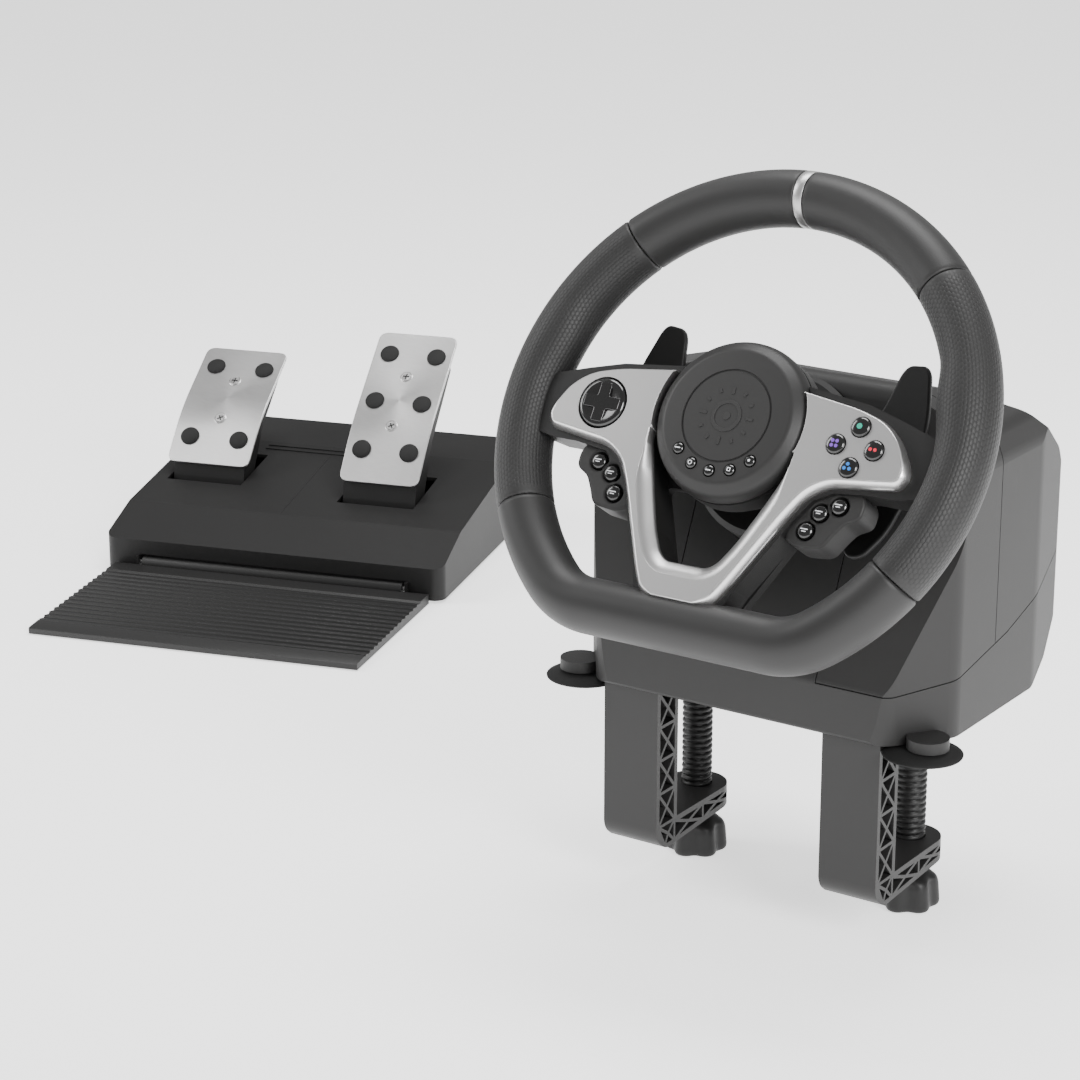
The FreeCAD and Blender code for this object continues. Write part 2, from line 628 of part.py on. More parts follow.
for index in range(5):
    turn = math.radians(size("hub_button_step") * (index - 2))
    ring = size("hub_button_ring")
    key = turned("hub_button_%d" % (index + 1), [
        (0, "hub_front - 7"), ("hub_button_radius", "hub_front - 7"),
        ("hub_button_radius", "hub_front + 0.6"), ("hub_button_radius - 0.7", "hub_front + 1.2"),
        (0, "hub_front + 1.4")], at(WHEEL, ring * math.sin(turn), -ring * math.cos(turn)))
    keep(key)

# Shift paddles: long blades behind the spokes, each on a pin across two lugs of the hub bowl.
PADDLE = [(34, 9), (52, 12), (60, 30), (64, 50), (67, 55), (77, 56), (80, 52), (86, 30), (88, 8), (87, -14),
          (82, -34), (73, -48), (65, -50), (58, -42), (56, -24), (50, -11), (34, -9)]
blade = slab(rounded(PADDLE, [2, 6, 5, 4, 3, 3, 4, 8, 8, 8, 6, 4, 4, 5, 6, 4, 2]),
             size("paddle_front") - size("paddle_thick"), size("paddle_front"))
knuckle = Part.makeCylinder(size("pivot_radius") + 2.2, 20, Vector(pivot_x, -10, paddle_mid), Vector(0, 1, 0))
pin = Part.makeCylinder(size("pivot_radius") - size("running_fit"), 31, Vector(pivot_x, -15.5, paddle_mid),
                        Vector(0, 1, 0))
blade = blade.fuse([knuckle, pin]).removeSplitter()
for name, side in (("left", -1), ("right", 1)):
    moulded(name + "_paddle", blade if side > 0 else blade.mirror(Vector(), Vector(1, 0, 0)), WHEEL)

# ---------------------------------------------------------------- column

shaft = turned("column_shaft", [
    (0, "shaft_back"), ("shaft_radius", "shaft_back"), ("shaft_radius", "shaft_front"), (0, "shaft_front")], WHEEL)
keep(shaft)


def gear_blank(teeth, clear, low, high, turn=0):
    """A spur gear: straight-flanked teeth with backlash."""
    pitch = size("gear_module") * teeth / 2
    step = 2 * math.pi / teeth
    corners = []
    for tooth in range(int(teeth)):
        middle = tooth * step + turn
        for shift, radius in ((-0.29, pitch - 1.2), (-0.12, pitch + 0.8), (0.12, pitch + 0.8), (0.29, pitch - 1.2)):
            angle = middle + shift * step
            corners.append(Vector(radius * math.cos(angle), radius * math.sin(angle), 0))
    wire = Part.makePolygon(corners + corners[:1])
    return slab(wire, low, high).cut(cylinder(clear, -400, 400))


gear_low = size("gear_place") - size("gear_width")
gear = gear_blank(size("gear_teeth"), size("shaft_radius"), gear_low, size("gear_place"))
moulded("steering_gear", gear, WHEEL)
mesh_gap = 0.15
pinion_x = size("gear_module") * (size("gear_teeth") + size("pinion_teeth")) / 2 + mesh_gap
spindle = 3.0
spindle_back = size("rear_bearing") - size("bearing_width") / 2
pinion = gear_blank(size("pinion_teeth"), 0.01, gear_low, size("gear_place"), math.pi / size("pinion_teeth"))
pinion = pinion.fuse([cylinder(spindle, spindle_back, size("gear_place") + 2), cylinder(1, gear_low, size("gear_place"))])
moulded("sensor_pinion", pinion.removeSplitter(), at(WHEEL, pinion_x))

half_bearing = size("bearing_width") / 2
rings = []
plates = []
frame_top = 38.0
for place in (size("front_bearing"), size("rear_bearing")):
    ring = cylinder(size("bearing_radius"), place - half_bearing, place + half_bearing)
    rings.append(ring.cut(cylinder(size("shaft_radius") + size("running_fit"), -400, 400)))
    outline = [(-30, -frame_top), (pinion_x + 12, -frame_top), (pinion_x + 12, frame_top), (-30, frame_top)]
    plates.append(slab(rounded(outline, 8), place - half_bearing, place + half_bearing))
moulded("column_bearings", Part.Compound(rings), WHEEL)
for end in (-1, 1):
    rail = Part.makeBox(50, 5, size("front_bearing") - size("rear_bearing"))
    rail.translate(Vector(-25, frame_top - 5 if end > 0 else -frame_top, size("rear_bearing")))
    plates.append(rail)
column_frame = plates[0].fuse(plates[1:])
column_frame = column_frame.cut([cylinder(size("bearing_radius"), -400, 400),
                                 cylinder(spindle + size("running_fit"), -400, -100, pinion_x)])
moulded("column_frame", column_frame.removeSplitter(), WHEEL)

spring_wire = 1.0
spring_radius = size("shaft_radius") + 3.5
spring = coil(spring_radius, spring_wire, 2.4, 3.5)
spring_low = size("rear_bearing") + half_bearing + spring_wire + 0.4
moulded("centring_spring", spring, at(WHEEL, 0, 0, spring_low))

bezel = turned("column_bezel", [
    ("bezel_radius", "bezel_back"), ("bezel_radius", "bezel_front - 3"), ("bezel_radius - 3", "bezel_front"),
    ("shaft_radius + 3", "bezel_front"), ("shaft_radius + 3", "bezel_front - shell_wall"),
    ("bezel_radius - shell_wall - 1", "bezel_front - shell_wall - 1"),
    ("bezel_radius - shell_wall - 1", "bezel_back")], WHEEL)
keep(bezel)

# ---------------------------------------------------------------- base

neck_of_cup = 9.0
front = size("base_front")
back = size("base_back")
top = size("base_top")
floor = size("underside")
half = size("base_half_width")
wall = size("shell_wall")
SIDE = [(front, floor), (front + 2, size("apron_top")), (front + 66, top), (back - 84, top - 8),
        (back - 52, top - 30), (back - 24, top - 48), (back - 7, top - 72), (back, floor + 64),
        (back - 9, floor + 34), (back - 36, floor + 9), (back - 62, floor)]
PLAN = [(-half + 25, front), (half - 25, front), (half, front + 34), (half, back - 60), (half - 10, back - 14),
        (half - 30, back), (30 - half, back), (10 - half, back - 14), (-half, back - 60), (-half, front + 34)]
FRONT = [(-half, floor), (half, floor), (half + 1, floor + 70), (half, top - 34), (half - 6, top - 18), (66, top - 5),
         (46, top), (-46, top), (-66, top - 5), (6 - half, top - 18), (-half, top - 34), (-half - 1, floor + 70)]


def block(inset):
    """The base's outer form, or the space inside it, as three crossed prisms."""
    def outline(points, radii):
        wire = rounded(points, radii)
        return wire if inset == 0 else Part.Face(wire).makeOffset2D(-inset).OuterWire
    side = sideways(slab(outline(SIDE, [2, 10, 12, 20, 20, 20, 14, 14, 14, 10, 6]), -200, 200))
    plan = slab(outline(PLAN, [18, 18, 14, 30, 12, 10, 10, 12, 30, 14]), -50, 300)
    rise = upright(slab(outline(FRONT, [0, 0, 20, 20, 10, 20, 20, 20, 20, 10, 20, 20]), -300, 300))
    return side.common(plan).common(rise)


shell = block(0).cut(block(wall))
seam_line = [(-160, size("apron_top") - 1), (front + 5, size("apron_top") - 1), (-10, floor + 41),
             (back, floor + 70), (160, floor + 98), (160, -60), (-160, -60)]
below_seam = sideways(slab(rounded(seam_line, 0), -200, 200))
raised_seam = below_seam.copy()
raised_seam.translate(Vector(0, 0, size("shell_gap")))
panel_half = size("panel_half_width")
panel_space = Part.makeBox(2 * panel_half, 200, 200, Vector(-panel_half, -200 + size("shell_seam"), -50))
collar_space = cylinder(size("bezel_radius") + size("fit"), -110, 0)
collar_space.Placement = WHEEL
upper_space = slab(rounded([(-200, -200), (200, -200), (200, 0), (-200, 0)], 0), -200, 0)
upper_space.Placement = WHEEL
panel_space = panel_space.common(upper_space)
gap = size("shell_gap")
wide_panel = panel_space.fuse([panel_space.translated(Vector(gap, 0, 0)), panel_space.translated(Vector(-gap, 0, 0)),
                               panel_space.translated(Vector(0, 0, gap))])
lower_shell = shell.common(below_seam.fuse(panel_space)).cut(collar_space)
ear_height = 6.0
for side in (-1, 1):
    ear = cylinder(neck_of_cup + 2, floor, floor + ear_height, side * size("cup_x"), size("cup_y"))
    lower_shell = lower_shell.fuse(ear)
upper_shell = shell.cut([raised_seam, wide_panel, collar_space])
ahead = Part.makeBox(400, 300, 400, Vector(-200, -300 + size("shell_seam"), -100))
behind = Part.makeBox(400, 300, 400, Vector(-200, size("shell_seam") + gap, -100))
moulded("lower_shell", lower_shell.removeSplitter(), BASE)
moulded("front_shell", upper_shell.common(ahead).removeSplitter(), BASE)
moulded("rear_shell", upper_shell.common(behind).removeSplitter(), BASE)

# Circuit board on four posts, with two chips.
board = Part.makeBox(70, 46, 1.6, Vector(-35, -50, floor + wall + 6))
parts = [Part.makeCylinder(2.5, 6, Vector(x, y, floor + wall)) for x in (-30, 30) for y in (-46, -8)]
parts += [Part.makeBox(12, 12, 1.4, Vector(x, -34, floor + wall + 7.6)) for x in (-18, 8)]
moulded("main_board", board.fuse(parts).removeSplitter(), BASE)

# Rubber feet: a flat pad under the middle, and four suction cups.
rest_pad = Part.makeBox(70, 60, floor, Vector(-35, -30, 0))
cup_profile = [(0, floor), (neck_of_cup, floor), (size("cup_radius"), 1.2), (size("cup_radius"), 0),
               (size("cup_radius") - 2, 0), (8, floor - 1.4), (0, floor - 1.4)]
cup_face = Part.Face(Part.makePolygon([Vector(r, 0, z) for r, z in cup_profile + cup_profile[:1]]))
cup = cup_face.revolve(Vector(), axis_up, 360)
cups = [rest_pad]
for side in (-1, 1):
    cups.append(cup.translated(Vector(side * size("cup_x"), size("cup_y"), 0)))
    cups.append(cup.translated(Vector(side * size("rear_cup_x"), size("rear_cup_y"), 0)))
moulded("desk_feet", Part.Compound(cups), BASE)

# ---------------------------------------------------------------- clamps

jaw_end = size("screw_y") + size("arm_width") / 2
jaw_low = size("jaw_top") - 11.5


def triangles(cells):
    """The four triangles between the edges and diagonals of each four-cornered cell, less the ribs."""
    found = []
    for cell in cells:
        centre = (sum(p[0] for p in cell) / 4, sum(p[1] for p in cell) / 4)
        for index in range(4):
            found.append([cell[index], cell[(index + 1) % 4], centre])
    return found


def recesses():
    """Prisms, drawn in (y, z), between the ribs of an arm's flank."""
    rim_wall = 2.2
    near = size("arm_face") + rim_wall
    far = size("arm_face") + size("arm_thick") - rim_wall
    low = size("jaw_top") - 1
    high = floor - rim_wall
    rows = 4
    cells = []
    for row in range(rows):
        z0 = low + (high - low) * row / rows
        z1 = low + (high - low) * (row + 1) / rows
        cells.append([(near, z0), (far, z0), (far, z1), (near, z1)])
    end = jaw_end - 8
    bottom = size("arm_bottom") + rim_wall
    cells.append([(near + 7, bottom), (far, bottom), (far, low), (near, low)])
    for row in range(2):
        y0 = far + (end - far) * row / 2
        y1 = far + (end - far) * (row + 1) / 2
        b0 = bottom + (jaw_low + rim_wall - bottom) * row / 2
        b1 = bottom + (jaw_low + rim_wall - bottom) * (row + 1) / 2
        cells.append([(y0, b0), (y1, b1), (y1, low - rim_wall + 1), (y0, low - rim_wall + 1)])
    prisms = []
    for corners in triangles(cells):
        wire = rounded(corners, 0)
        hollow = Part.Face(wire).makeOffset2D(-size("rib") / 2)
        prisms.append(slab(hollow.OuterWire, size("web") / 2, 60))
        prisms.append(slab(hollow.OuterWire, -60, -size("web") / 2))
    return sideways(Part.Compound(prisms))


flank_recesses = doc.addObject("Part::Feature", "flank_recesses")
flank_recesses.Shape = recesses()
for name, side in (("left", -1), ("right", 1)):
    arm = side_plate(name + "_arm_body", [
        ("arm_face", "underside"), ("arm_face + arm_thick", "underside"), ("arm_face + arm_thick", "jaw_top"),
        ("screw_y + arm_width / 2", "jaw_top"), ("screw_y + arm_width / 2", "jaw_top - 11.5"),
        ("arm_face + 10", "arm_bottom"), ("arm_face", "arm_bottom + 8")], "arm_width", BASE)
    soften(arm, "arm_width / 2 - 0.2",
           lambda e: e.BoundBox.XLength < 0.1 and e.BoundBox.YLength < 0.1 and e.CenterOfMass.y > jaw_end - 0.1)
    soften(arm, "arm_corner",
           lambda e: e.BoundBox.XLength > 10 and e.CenterOfMass.z < size("arm_bottom") + 8.1
           and e.CenterOfMass.y < size("arm_face") + 10.1)
    bore = new_sketch(arm, "XY_Plane", "jaw_top + 5")
    circle(bore, 0, "screw_y", "screw_radius + thread_fit")
    cut(arm, bore, 30.0)
    ribbed = doc.addObject("Part::Cut", name + "_clamp_arm")
    ribbed.Label = name + "_clamp_arm"
    ribbed.Base = arm
    ribbed.Tool = flank_recesses
    ribbed.Placement = Placement(Vector(side * size("arm_x"), 0, 0), Rotation())
    keep(ribbed)

# Screw: round thread, six-lobed knob below, plain tip that turns in the pad.
pad_top = size("clamp_pad_top")
tip_top = pad_top - 4
thread_top = pad_top - 12
profile = [(0, tip_top), (5, tip_top), (5, thread_top), (size("screw_core"), thread_top)]
level = thread_top - 0.6
while level - size("screw_pitch") > size("knob_top"):
    for drop, radius in ((0, size("screw_core")), (0.5, size("screw_radius") - 0.3), (0.9, size("screw_radius")),
                         (1.9, size("screw_radius")), (2.3, size("screw_radius") - 0.3), (2.8, size("screw_core"))):
        profile.append((radius, level - drop))
    level -= size("screw_pitch")
profile += [(size("screw_core"), size("knob_top")), (0, size("knob_top"))]
screw_face = Part.Face(Part.makePolygon([Vector(r, 0, z) for r, z in profile + profile[:1]]))
screw = screw_face.revolve(Vector(), axis_up, 360)
knob = Part.makeCone(size("knob_radius"), size("knob_radius") - 1.5, size("knob_top") - size("knob_bottom"),
                     Vector(0, 0, size("knob_bottom")))
for lobe in range(6):
    angle = math.radians(60 * lobe + 30)
    reach = size("knob_radius") + 3.6
    knob = knob.cut(cylinder(8, -200, 0, reach * math.cos(angle), reach * math.sin(angle)))
for name, side in (("left", -1), ("right", 1)):
    place = Placement(Vector(side * size("arm_x"), size("screw_y"), 0), Rotation())
    moulded(name + "_clamp_screw", screw.fuse(knob).removeSplitter(), place)
    swivel = turned(name + "_clamp_pad", [
        (0, "clamp_pad_top"), ("clamp_pad_radius", "clamp_pad_top"), ("clamp_pad_radius", "clamp_pad_top - 3"),
        (8.5, "clamp_pad_top - 6"), (8.5, "clamp_pad_top - 11"), ("5 + running_fit", "clamp_pad_top - 11"),
        ("5 + running_fit", "clamp_pad_top - 3.9"), (0, "clamp_pad_top - 3.9")], place)
    keep(swivel)

# ---------------------------------------------------------------- pedal unit

pedal_half = size("pedal_width") / 2
pedal_back = size("pedal_depth")
low = size("foot_height")
low_edge = size("pedal_front_height")
high_edge = size("pedal_back_height")
HOUSING = [(0, low), (0, low_edge), (42, low_edge + 15), (pedal_back - 50, high_edge - 4), (pedal_back, high_edge),
           (pedal_back, low)]


def roof_height(y):
    """The height of the housing's sloping top at a distance behind its front."""
    (near, near_z), (far, far_z) = HOUSING[2], HOUSING[3]
    return near_z + (far_z - near_z) * (y - near) / (far - near)


def housing_block(inset, bottom):
    points = [(y + (inset if y == 0 else 0) - (inset if y == pedal_back else 0), z - (inset if z > low else 0))
              for y, z in HOUSING]
    points = [(y, bottom if z == low else z) for y, z in points]
    reach = pedal_half - inset
    form = sideways(slab(rounded(points, 0), -reach, reach))
    corners = [(-reach, inset), (reach, inset), (reach - 4, pedal_back - inset), (4 - reach, pedal_back - inset)]
    return form.common(slab(rounded(corners, [8, 8, 10, 10]), -20, 200))


GAS_WIDTH = 60.0
BRAKE_WIDTH = 64.0
GAS_LEFT = 0.2047 * size("pedal_width") - GAS_WIDTH / 2
BRAKE_LEFT = -0.3346 * size("pedal_width") - BRAKE_WIDTH / 2
GAS_LINE = [(76, 58), (104, 92), (168, 145)]
BRAKE_LINE = [(88, 57), (118, 89), (171, 122)]
PEDAL_SET = (("gas", GAS_LEFT, GAS_WIDTH, GAS_LINE, 3), ("brake", BRAKE_LEFT, BRAKE_WIDTH, BRAKE_LINE, 2))
pivot_z = size("pedal_pivot_z")
pedal_wall = size("shell_wall")
half_arm = size("pedal_arm_width") / 2
housing = housing_block(0, low).cut(housing_block(pedal_wall, low - 5))
tab_half = pedal_half - size("heel_tab_inset")
recess = Part.makeBox(2 * tab_half + 4, size("heel_hinge_y") + 7, 14, Vector(-tab_half - 2, -1, 0))
housing = housing.cut(recess)
roof = Part.makeBox(2 * tab_half + 8, 2, 12, Vector(-tab_half - 4, size("heel_hinge_y") + 6.5, low + 2.5))
ears = [Part.makeBox(2, size("heel_hinge_y") + 11, 9, Vector(x, -3, low + 3))
        for x in (-tab_half - 4, tab_half + 2)]
housing = housing.fuse([roof] + ears)
pins = []
arm_pivots = {}
slot_front = 13.0
slot_back = 40.0
cheek_half = 11.0
for name, left, width, line, rows in PEDAL_SET:
    middle = left + width / 2
    pivot_y = line[0][0] + 6
    arm_pivots[name] = (middle, pivot_y)
    slot = Part.makeBox(size("pedal_arm_width") + 3, slot_back + slot_front, 60,
                        Vector(middle - half_arm - 1.5, pivot_y - slot_front, pivot_z + 9))
    housing = housing.cut(slot)
    cheek_top = roof_height(pivot_y - cheek_half) - 0.3
    for end in (-1, 1):
        cheek = Part.makeBox(4, 2 * cheek_half, cheek_top - low - 2.5,
                             Vector(middle + end * (half_arm + 7) - 2, pivot_y - cheek_half, low + 2.5))
        housing = housing.fuse(cheek)
    bore = Part.makeCylinder(size("pedal_pin_radius"), 2 * half_arm + 18.2,
                             Vector(middle - half_arm - 9.1, pivot_y, pivot_z), Vector(1, 0, 0))
    housing = housing.cut(bore)
    pins.append(bore)
hinge_pin = Part.makeCylinder(1.6, 2 * tab_half + 7.8, Vector(-tab_half - 3.9, size("heel_hinge_y"), low + 7),
                              Vector(1, 0, 0))
housing = housing.cut(hinge_pin)
moulded("pedal_housing", housing.removeSplitter(), PEDALS)
moulded("pedal_pins", Part.Compound(pins + [hinge_pin]), PEDALS)

bottom = slab(rounded([(-pedal_half + 4, 15), (pedal_half - 4, 15), (pedal_half - 8, pedal_back - 4),
                       (8 - pedal_half, pedal_back - 4)], 6), low, low + 2.5)
moulded("pedal_bottom_plate", bottom, PEDALS)
feet = [Part.makeBox(30, 14, low, Vector(x - 15, y, 0)) for x in (-95, 95) for y in (20, pedal_back - 30)]
moulded("pedal_feet", Part.Compound(feet), PEDALS)

# Heel plate: ribbed tread with saw-tooth sides and a knuckle strip that hangs on the hinge pin.
depth = size("heel_depth")
thin = size("heel_front")
thick = size("heel_back")
rib_pitch = 7.6
rib_height = 1.2
tread = [(-depth, 0), (-depth, thin), (-depth + 16, thin + 0.6)]
place = -depth + 16
while place + rib_pitch < -14:
    level = thin + 0.6 + (thick - thin - 0.6) * (place + depth) / depth
    tread += [(place + 0.4, level - rib_height), (place + rib_pitch, level + 0.1)]
    place += rib_pitch
tread += [(-2, thick), (-2, 0)]
heel = sideways(slab(rounded(tread, 0), -pedal_half + 9, pedal_half - 9))
knuckle_strip = Part.makeBox(2 * tab_half, size("heel_hinge_y") + 3, thick, Vector(-tab_half, -3, 0))
knuckle_strip = knuckle_strip.fuse(Part.makeCylinder(4.2, 2 * tab_half, Vector(-tab_half, size("heel_hinge_y"), low + 7),
                                                     Vector(1, 0, 0)))
ear_room = [Part.makeBox(5, 10, 30, Vector(x, -6, -10)) for x in (-tab_half - 5.5, tab_half + 0.5)]
heel = heel.cut(ear_room).fuse(knuckle_strip).cut(Part.makeCylinder(1.6 + size("running_fit"), 400,
                                                      Vector(-200, size("heel_hinge_y"), low + 7), Vector(1, 0, 0)))
moulded("heel_plate", heel.removeSplitter(), PEDALS)


def offset_line(line, distance):
    """A bent line moved square to itself, away from the driver for a positive distance."""
    moved = []
    for index, (y, z) in enumerate(line):
        before = line[max(index - 1, 0)]
        after = line[min(index + 1, len(line) - 1)]
        run = Vector(after[0] - before[0], after[1] - before[1], 0).normalize()
        moved.append((y + run.y * distance, z - run.x * distance))
    return moved


for name, left, width, line, rows in PEDAL_SET:
    middle, pivot_y = arm_pivots[name]
    rear = offset_line(line, size("plate_thick"))
    sheet_form = sideways(slab(rounded(line + rear[::-1], 0), left, left + width))
    thick_edges = [e for e in sheet_form.Edges if abs(e.Length - size("plate_thick")) < 0.2
                   and (e.CenterOfMass.z < line[0][1] + 2 or e.CenterOfMass.z > line[2][1] - 2)]
    sheet_form = sheet_form.makeFillet(6, thick_edges)
    moulded(name + "_plate", sheet_form, PEDALS)
    back_line = offset_line(line, size("plate_thick"))
    deep_line = offset_line(line, size("plate_thick") + 10)
    lower_edge = (back_line[0][0] + 4, back_line[0][1] + 4)
    upper_edge = (back_line[2][0] - 14, back_line[2][1] - 14 * (line[2][1] - line[1][1]) / (line[2][0] - line[1][0]))
    outline = [(pivot_y - 9, pivot_z), (pivot_y - 6, pivot_z + 20), lower_edge, back_line[1], upper_edge,
               (upper_edge[0] + 2, upper_edge[1] - 9), (deep_line[1][0] + 3, deep_line[1][1] - 3),
               (pivot_y + 16, pivot_z + 30), (pivot_y + 9, pivot_z)]
    lever = sideways(slab(rounded(outline, 0), middle - half_arm, middle + half_arm))
    lever = lever.fuse(Part.makeCylinder(9, 2 * half_arm, Vector(middle - half_arm, pivot_y, pivot_z), Vector(1, 0, 0)))
    lever = lever.cut(Part.makeCylinder(size("pedal_pin_radius") + size("running_fit"), 400,
                                        Vector(middle - 200, pivot_y, pivot_z), Vector(1, 0, 0)))
    lever = lever.cut(sheet_form)
    moulded(name + "_arm", lever.removeSplitter(), PEDALS)
    studs = []
    segments = [(line[0], line[1], 0.38), (line[1], line[2], 0.80)]
    if rows == 3:
        segments.insert(1, (line[1], line[2], 0.18))
    for start, end, share in segments:
        run = Vector(0, end[0] - start[0], end[1] - start[1])
        normal = Vector(0, -run.z, run.y).normalize()
        centre = Vector(0, start[0], start[1]) + run * share
        for across in (0.2, 0.8):
            spot = Vector(left + width * across, centre.y, centre.z)
            studs.append(Part.makeCylinder(6.5, 3, spot, normal))
    moulded(name + "_studs", Part.Compound(studs), PEDALS)

# Return springs: close-wound torsion coils beside the levers, round the pivot pins.
coil_inner = size("pedal_pin_radius") + 1.1
wire_width = 1.2
winding = [(coil_inner, 0)]
for turn_number in range(3):
    base = turn_number * wire_width
    winding += [(coil_inner + 0.7, base), (coil_inner + 1.1, base + 0.35), (coil_inner + 1.1, base + 0.85)]
winding += [(coil_inner + 0.7, 3 * wire_width), (coil_inner, 3 * wire_width)]
wound = Part.Face(Part.makePolygon([Vector(r, 0, z) for r, z in winding + winding[:1]]))
wound = wound.revolve(Vector(), axis_up, 360)
springs = []
for middle, pivot_y in arm_pivots.values():
    seat = Vector(middle + half_arm + 0.7, pivot_y, pivot_z)
    springs.append(wound.transformed(Placement(seat, Rotation(Vector(0, 1, 0), 90)).toMatrix()))
moulded("pedal_springs", Part.Compound(springs), PEDALS)

# ---------------------------------------------------------------- checks and files

doc.recompute()
for thing in doc.Objects:
    if "Invalid" in thing.State or "Error" in thing.State:
        raise ValueError("%s failed: %s" % (thing.Label, thing.State))
for thing in SUBPARTS:
    if thing.Shape.isNull() or not thing.Shape.isValid():
        raise ValueError("%s has no valid shape" % thing.Label)
    if thing.Shape.Volume <= 0:
        raise ValueError("%s has no volume" % thing.Label)
if len({thing.Label for thing in SUBPARTS}) != len(SUBPARTS) or len(SUBPARTS) > 60:
    raise ValueError("%d sub-parts" % len(SUBPARTS))
for thing in SUBPARTS:
    thing.Shape.exportStep("parts/%s.step" % thing.Label)
print("%d sub-parts written" % len(SUBPARTS))
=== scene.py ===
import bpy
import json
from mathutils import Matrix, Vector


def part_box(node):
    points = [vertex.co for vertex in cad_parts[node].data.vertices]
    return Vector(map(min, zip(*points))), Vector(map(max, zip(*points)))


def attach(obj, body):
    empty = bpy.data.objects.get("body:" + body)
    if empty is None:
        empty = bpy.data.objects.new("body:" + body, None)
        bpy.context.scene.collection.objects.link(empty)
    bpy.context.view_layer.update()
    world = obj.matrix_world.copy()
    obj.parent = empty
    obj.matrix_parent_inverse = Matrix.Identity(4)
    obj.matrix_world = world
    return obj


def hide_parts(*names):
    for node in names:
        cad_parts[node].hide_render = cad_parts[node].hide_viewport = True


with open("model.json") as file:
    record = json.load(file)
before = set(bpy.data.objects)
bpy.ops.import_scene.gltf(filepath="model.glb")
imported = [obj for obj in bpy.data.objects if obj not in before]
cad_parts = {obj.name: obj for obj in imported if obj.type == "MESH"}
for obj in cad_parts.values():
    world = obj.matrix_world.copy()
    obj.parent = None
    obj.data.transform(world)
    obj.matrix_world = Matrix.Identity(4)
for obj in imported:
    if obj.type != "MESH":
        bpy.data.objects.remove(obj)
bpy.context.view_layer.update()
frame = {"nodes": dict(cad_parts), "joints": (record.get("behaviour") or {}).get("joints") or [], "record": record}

import json
import math

import bmesh
import bpy
from mathutils import Matrix, Vector

# A clamp-on racing wheel and its pedal unit. Local sizes are in millimetres, and MM turns them to metres.
MM = 0.001
JOINTS = {joint["name"]: joint for joint in frame["joints"]}

# The wheel's own frame: X to the right, Y up the rim's face, Z along the column to the driver.
column = Vector(JOINTS["steering"]["axis"])
TILT = math.atan2(column.z, -column.y)
WHEEL = (Matrix.Translation(Vector(JOINTS["steering"]["pos_m"])) @ Matrix.Rotation(math.pi / 2 - TILT, 4, "X")
         @ Matrix.Scale(MM, 4))
ROW = Matrix.Scale(MM, 4)

# The pedal unit's own frame: X to the right, Y to its back, Z up, from the front middle of its housing.
pedal_axis = -Vector(JOINTS["gas_pedal_press"]["axis"])
PEDAL_YAW = math.atan2(pedal_axis.y, pedal_axis.x)
heel_pin = Vector(JOINTS["heel_plate_fold"]["pos_m"])
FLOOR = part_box("pedal_feet")[0].z
pedal_turn = Matrix.Rotation(PEDAL_YAW, 4, "Z")
pedal_origin = heel_pin - pedal_turn @ Vector((0, 1 * MM, 0))
PEDALS = Matrix.Translation((pedal_origin.x, pedal_origin.y, FLOOR)) @ pedal_turn @ Matrix.Scale(MM, 4)


# ------------------------------------------------------------------ shader maths

class Field:
    """A shader value, so that sums on it read as sums."""

    def __init__(self, tree, socket):
        self.tree = tree
        self.socket = socket

    def maths(self, operation, *others, swap=False):
        terms = [self, *others]
        if swap:
            terms.reverse()
        made = add_node(self.tree, "ShaderNodeMath", {"operation": operation}, dict(enumerate(terms)))
        return Field(self.tree, made.outputs[0])

    def __add__(self, other):
        return self.maths("ADD", other)

    def __sub__(self, other):
        return self.maths("SUBTRACT", other)

    def __rsub__(self, other):
        return self.maths("SUBTRACT", other, swap=True)

    def __mul__(self, other):
        return self.maths("MULTIPLY", other)

    def __truediv__(self, other):
        return self.maths("DIVIDE", other)

    def floor(self):
        return self.maths("FLOOR")

    def root(self):
        return self.maths("SQRT")

    def least(self, other):
        return self.maths("MINIMUM", other)

    def most(self, other):
        return self.maths("MAXIMUM", other)

    def saw(self, step):
        return self.maths("FLOORED_MODULO", step)

    def held(self):
        return self.most(0.0).least(1.0)

    __radd__ = __add__
    __rmul__ = __mul__


def add_node(tree, kind, settings=None, values=None):
    """Any shader node: its settings first, then the values or links of its sockets."""
    made = tree.nodes.new(kind)
    for key, value in (settings or {}).items():
        if key == "stops":
            ramp = made.color_ramp
            while len(ramp.elements) < len(value):
                ramp.elements.new(0.5)
            for element, (place, colour) in zip(ramp.elements, value):
                element.position = place
                element.color = colour
        else:
            setattr(made, key, value)
    for key, value in (values or {}).items():
        if isinstance(value, Field):
            tree.links.new(value.socket, made.inputs[key])
        elif value is not None:
            made.inputs[key].default_value = value
    return made


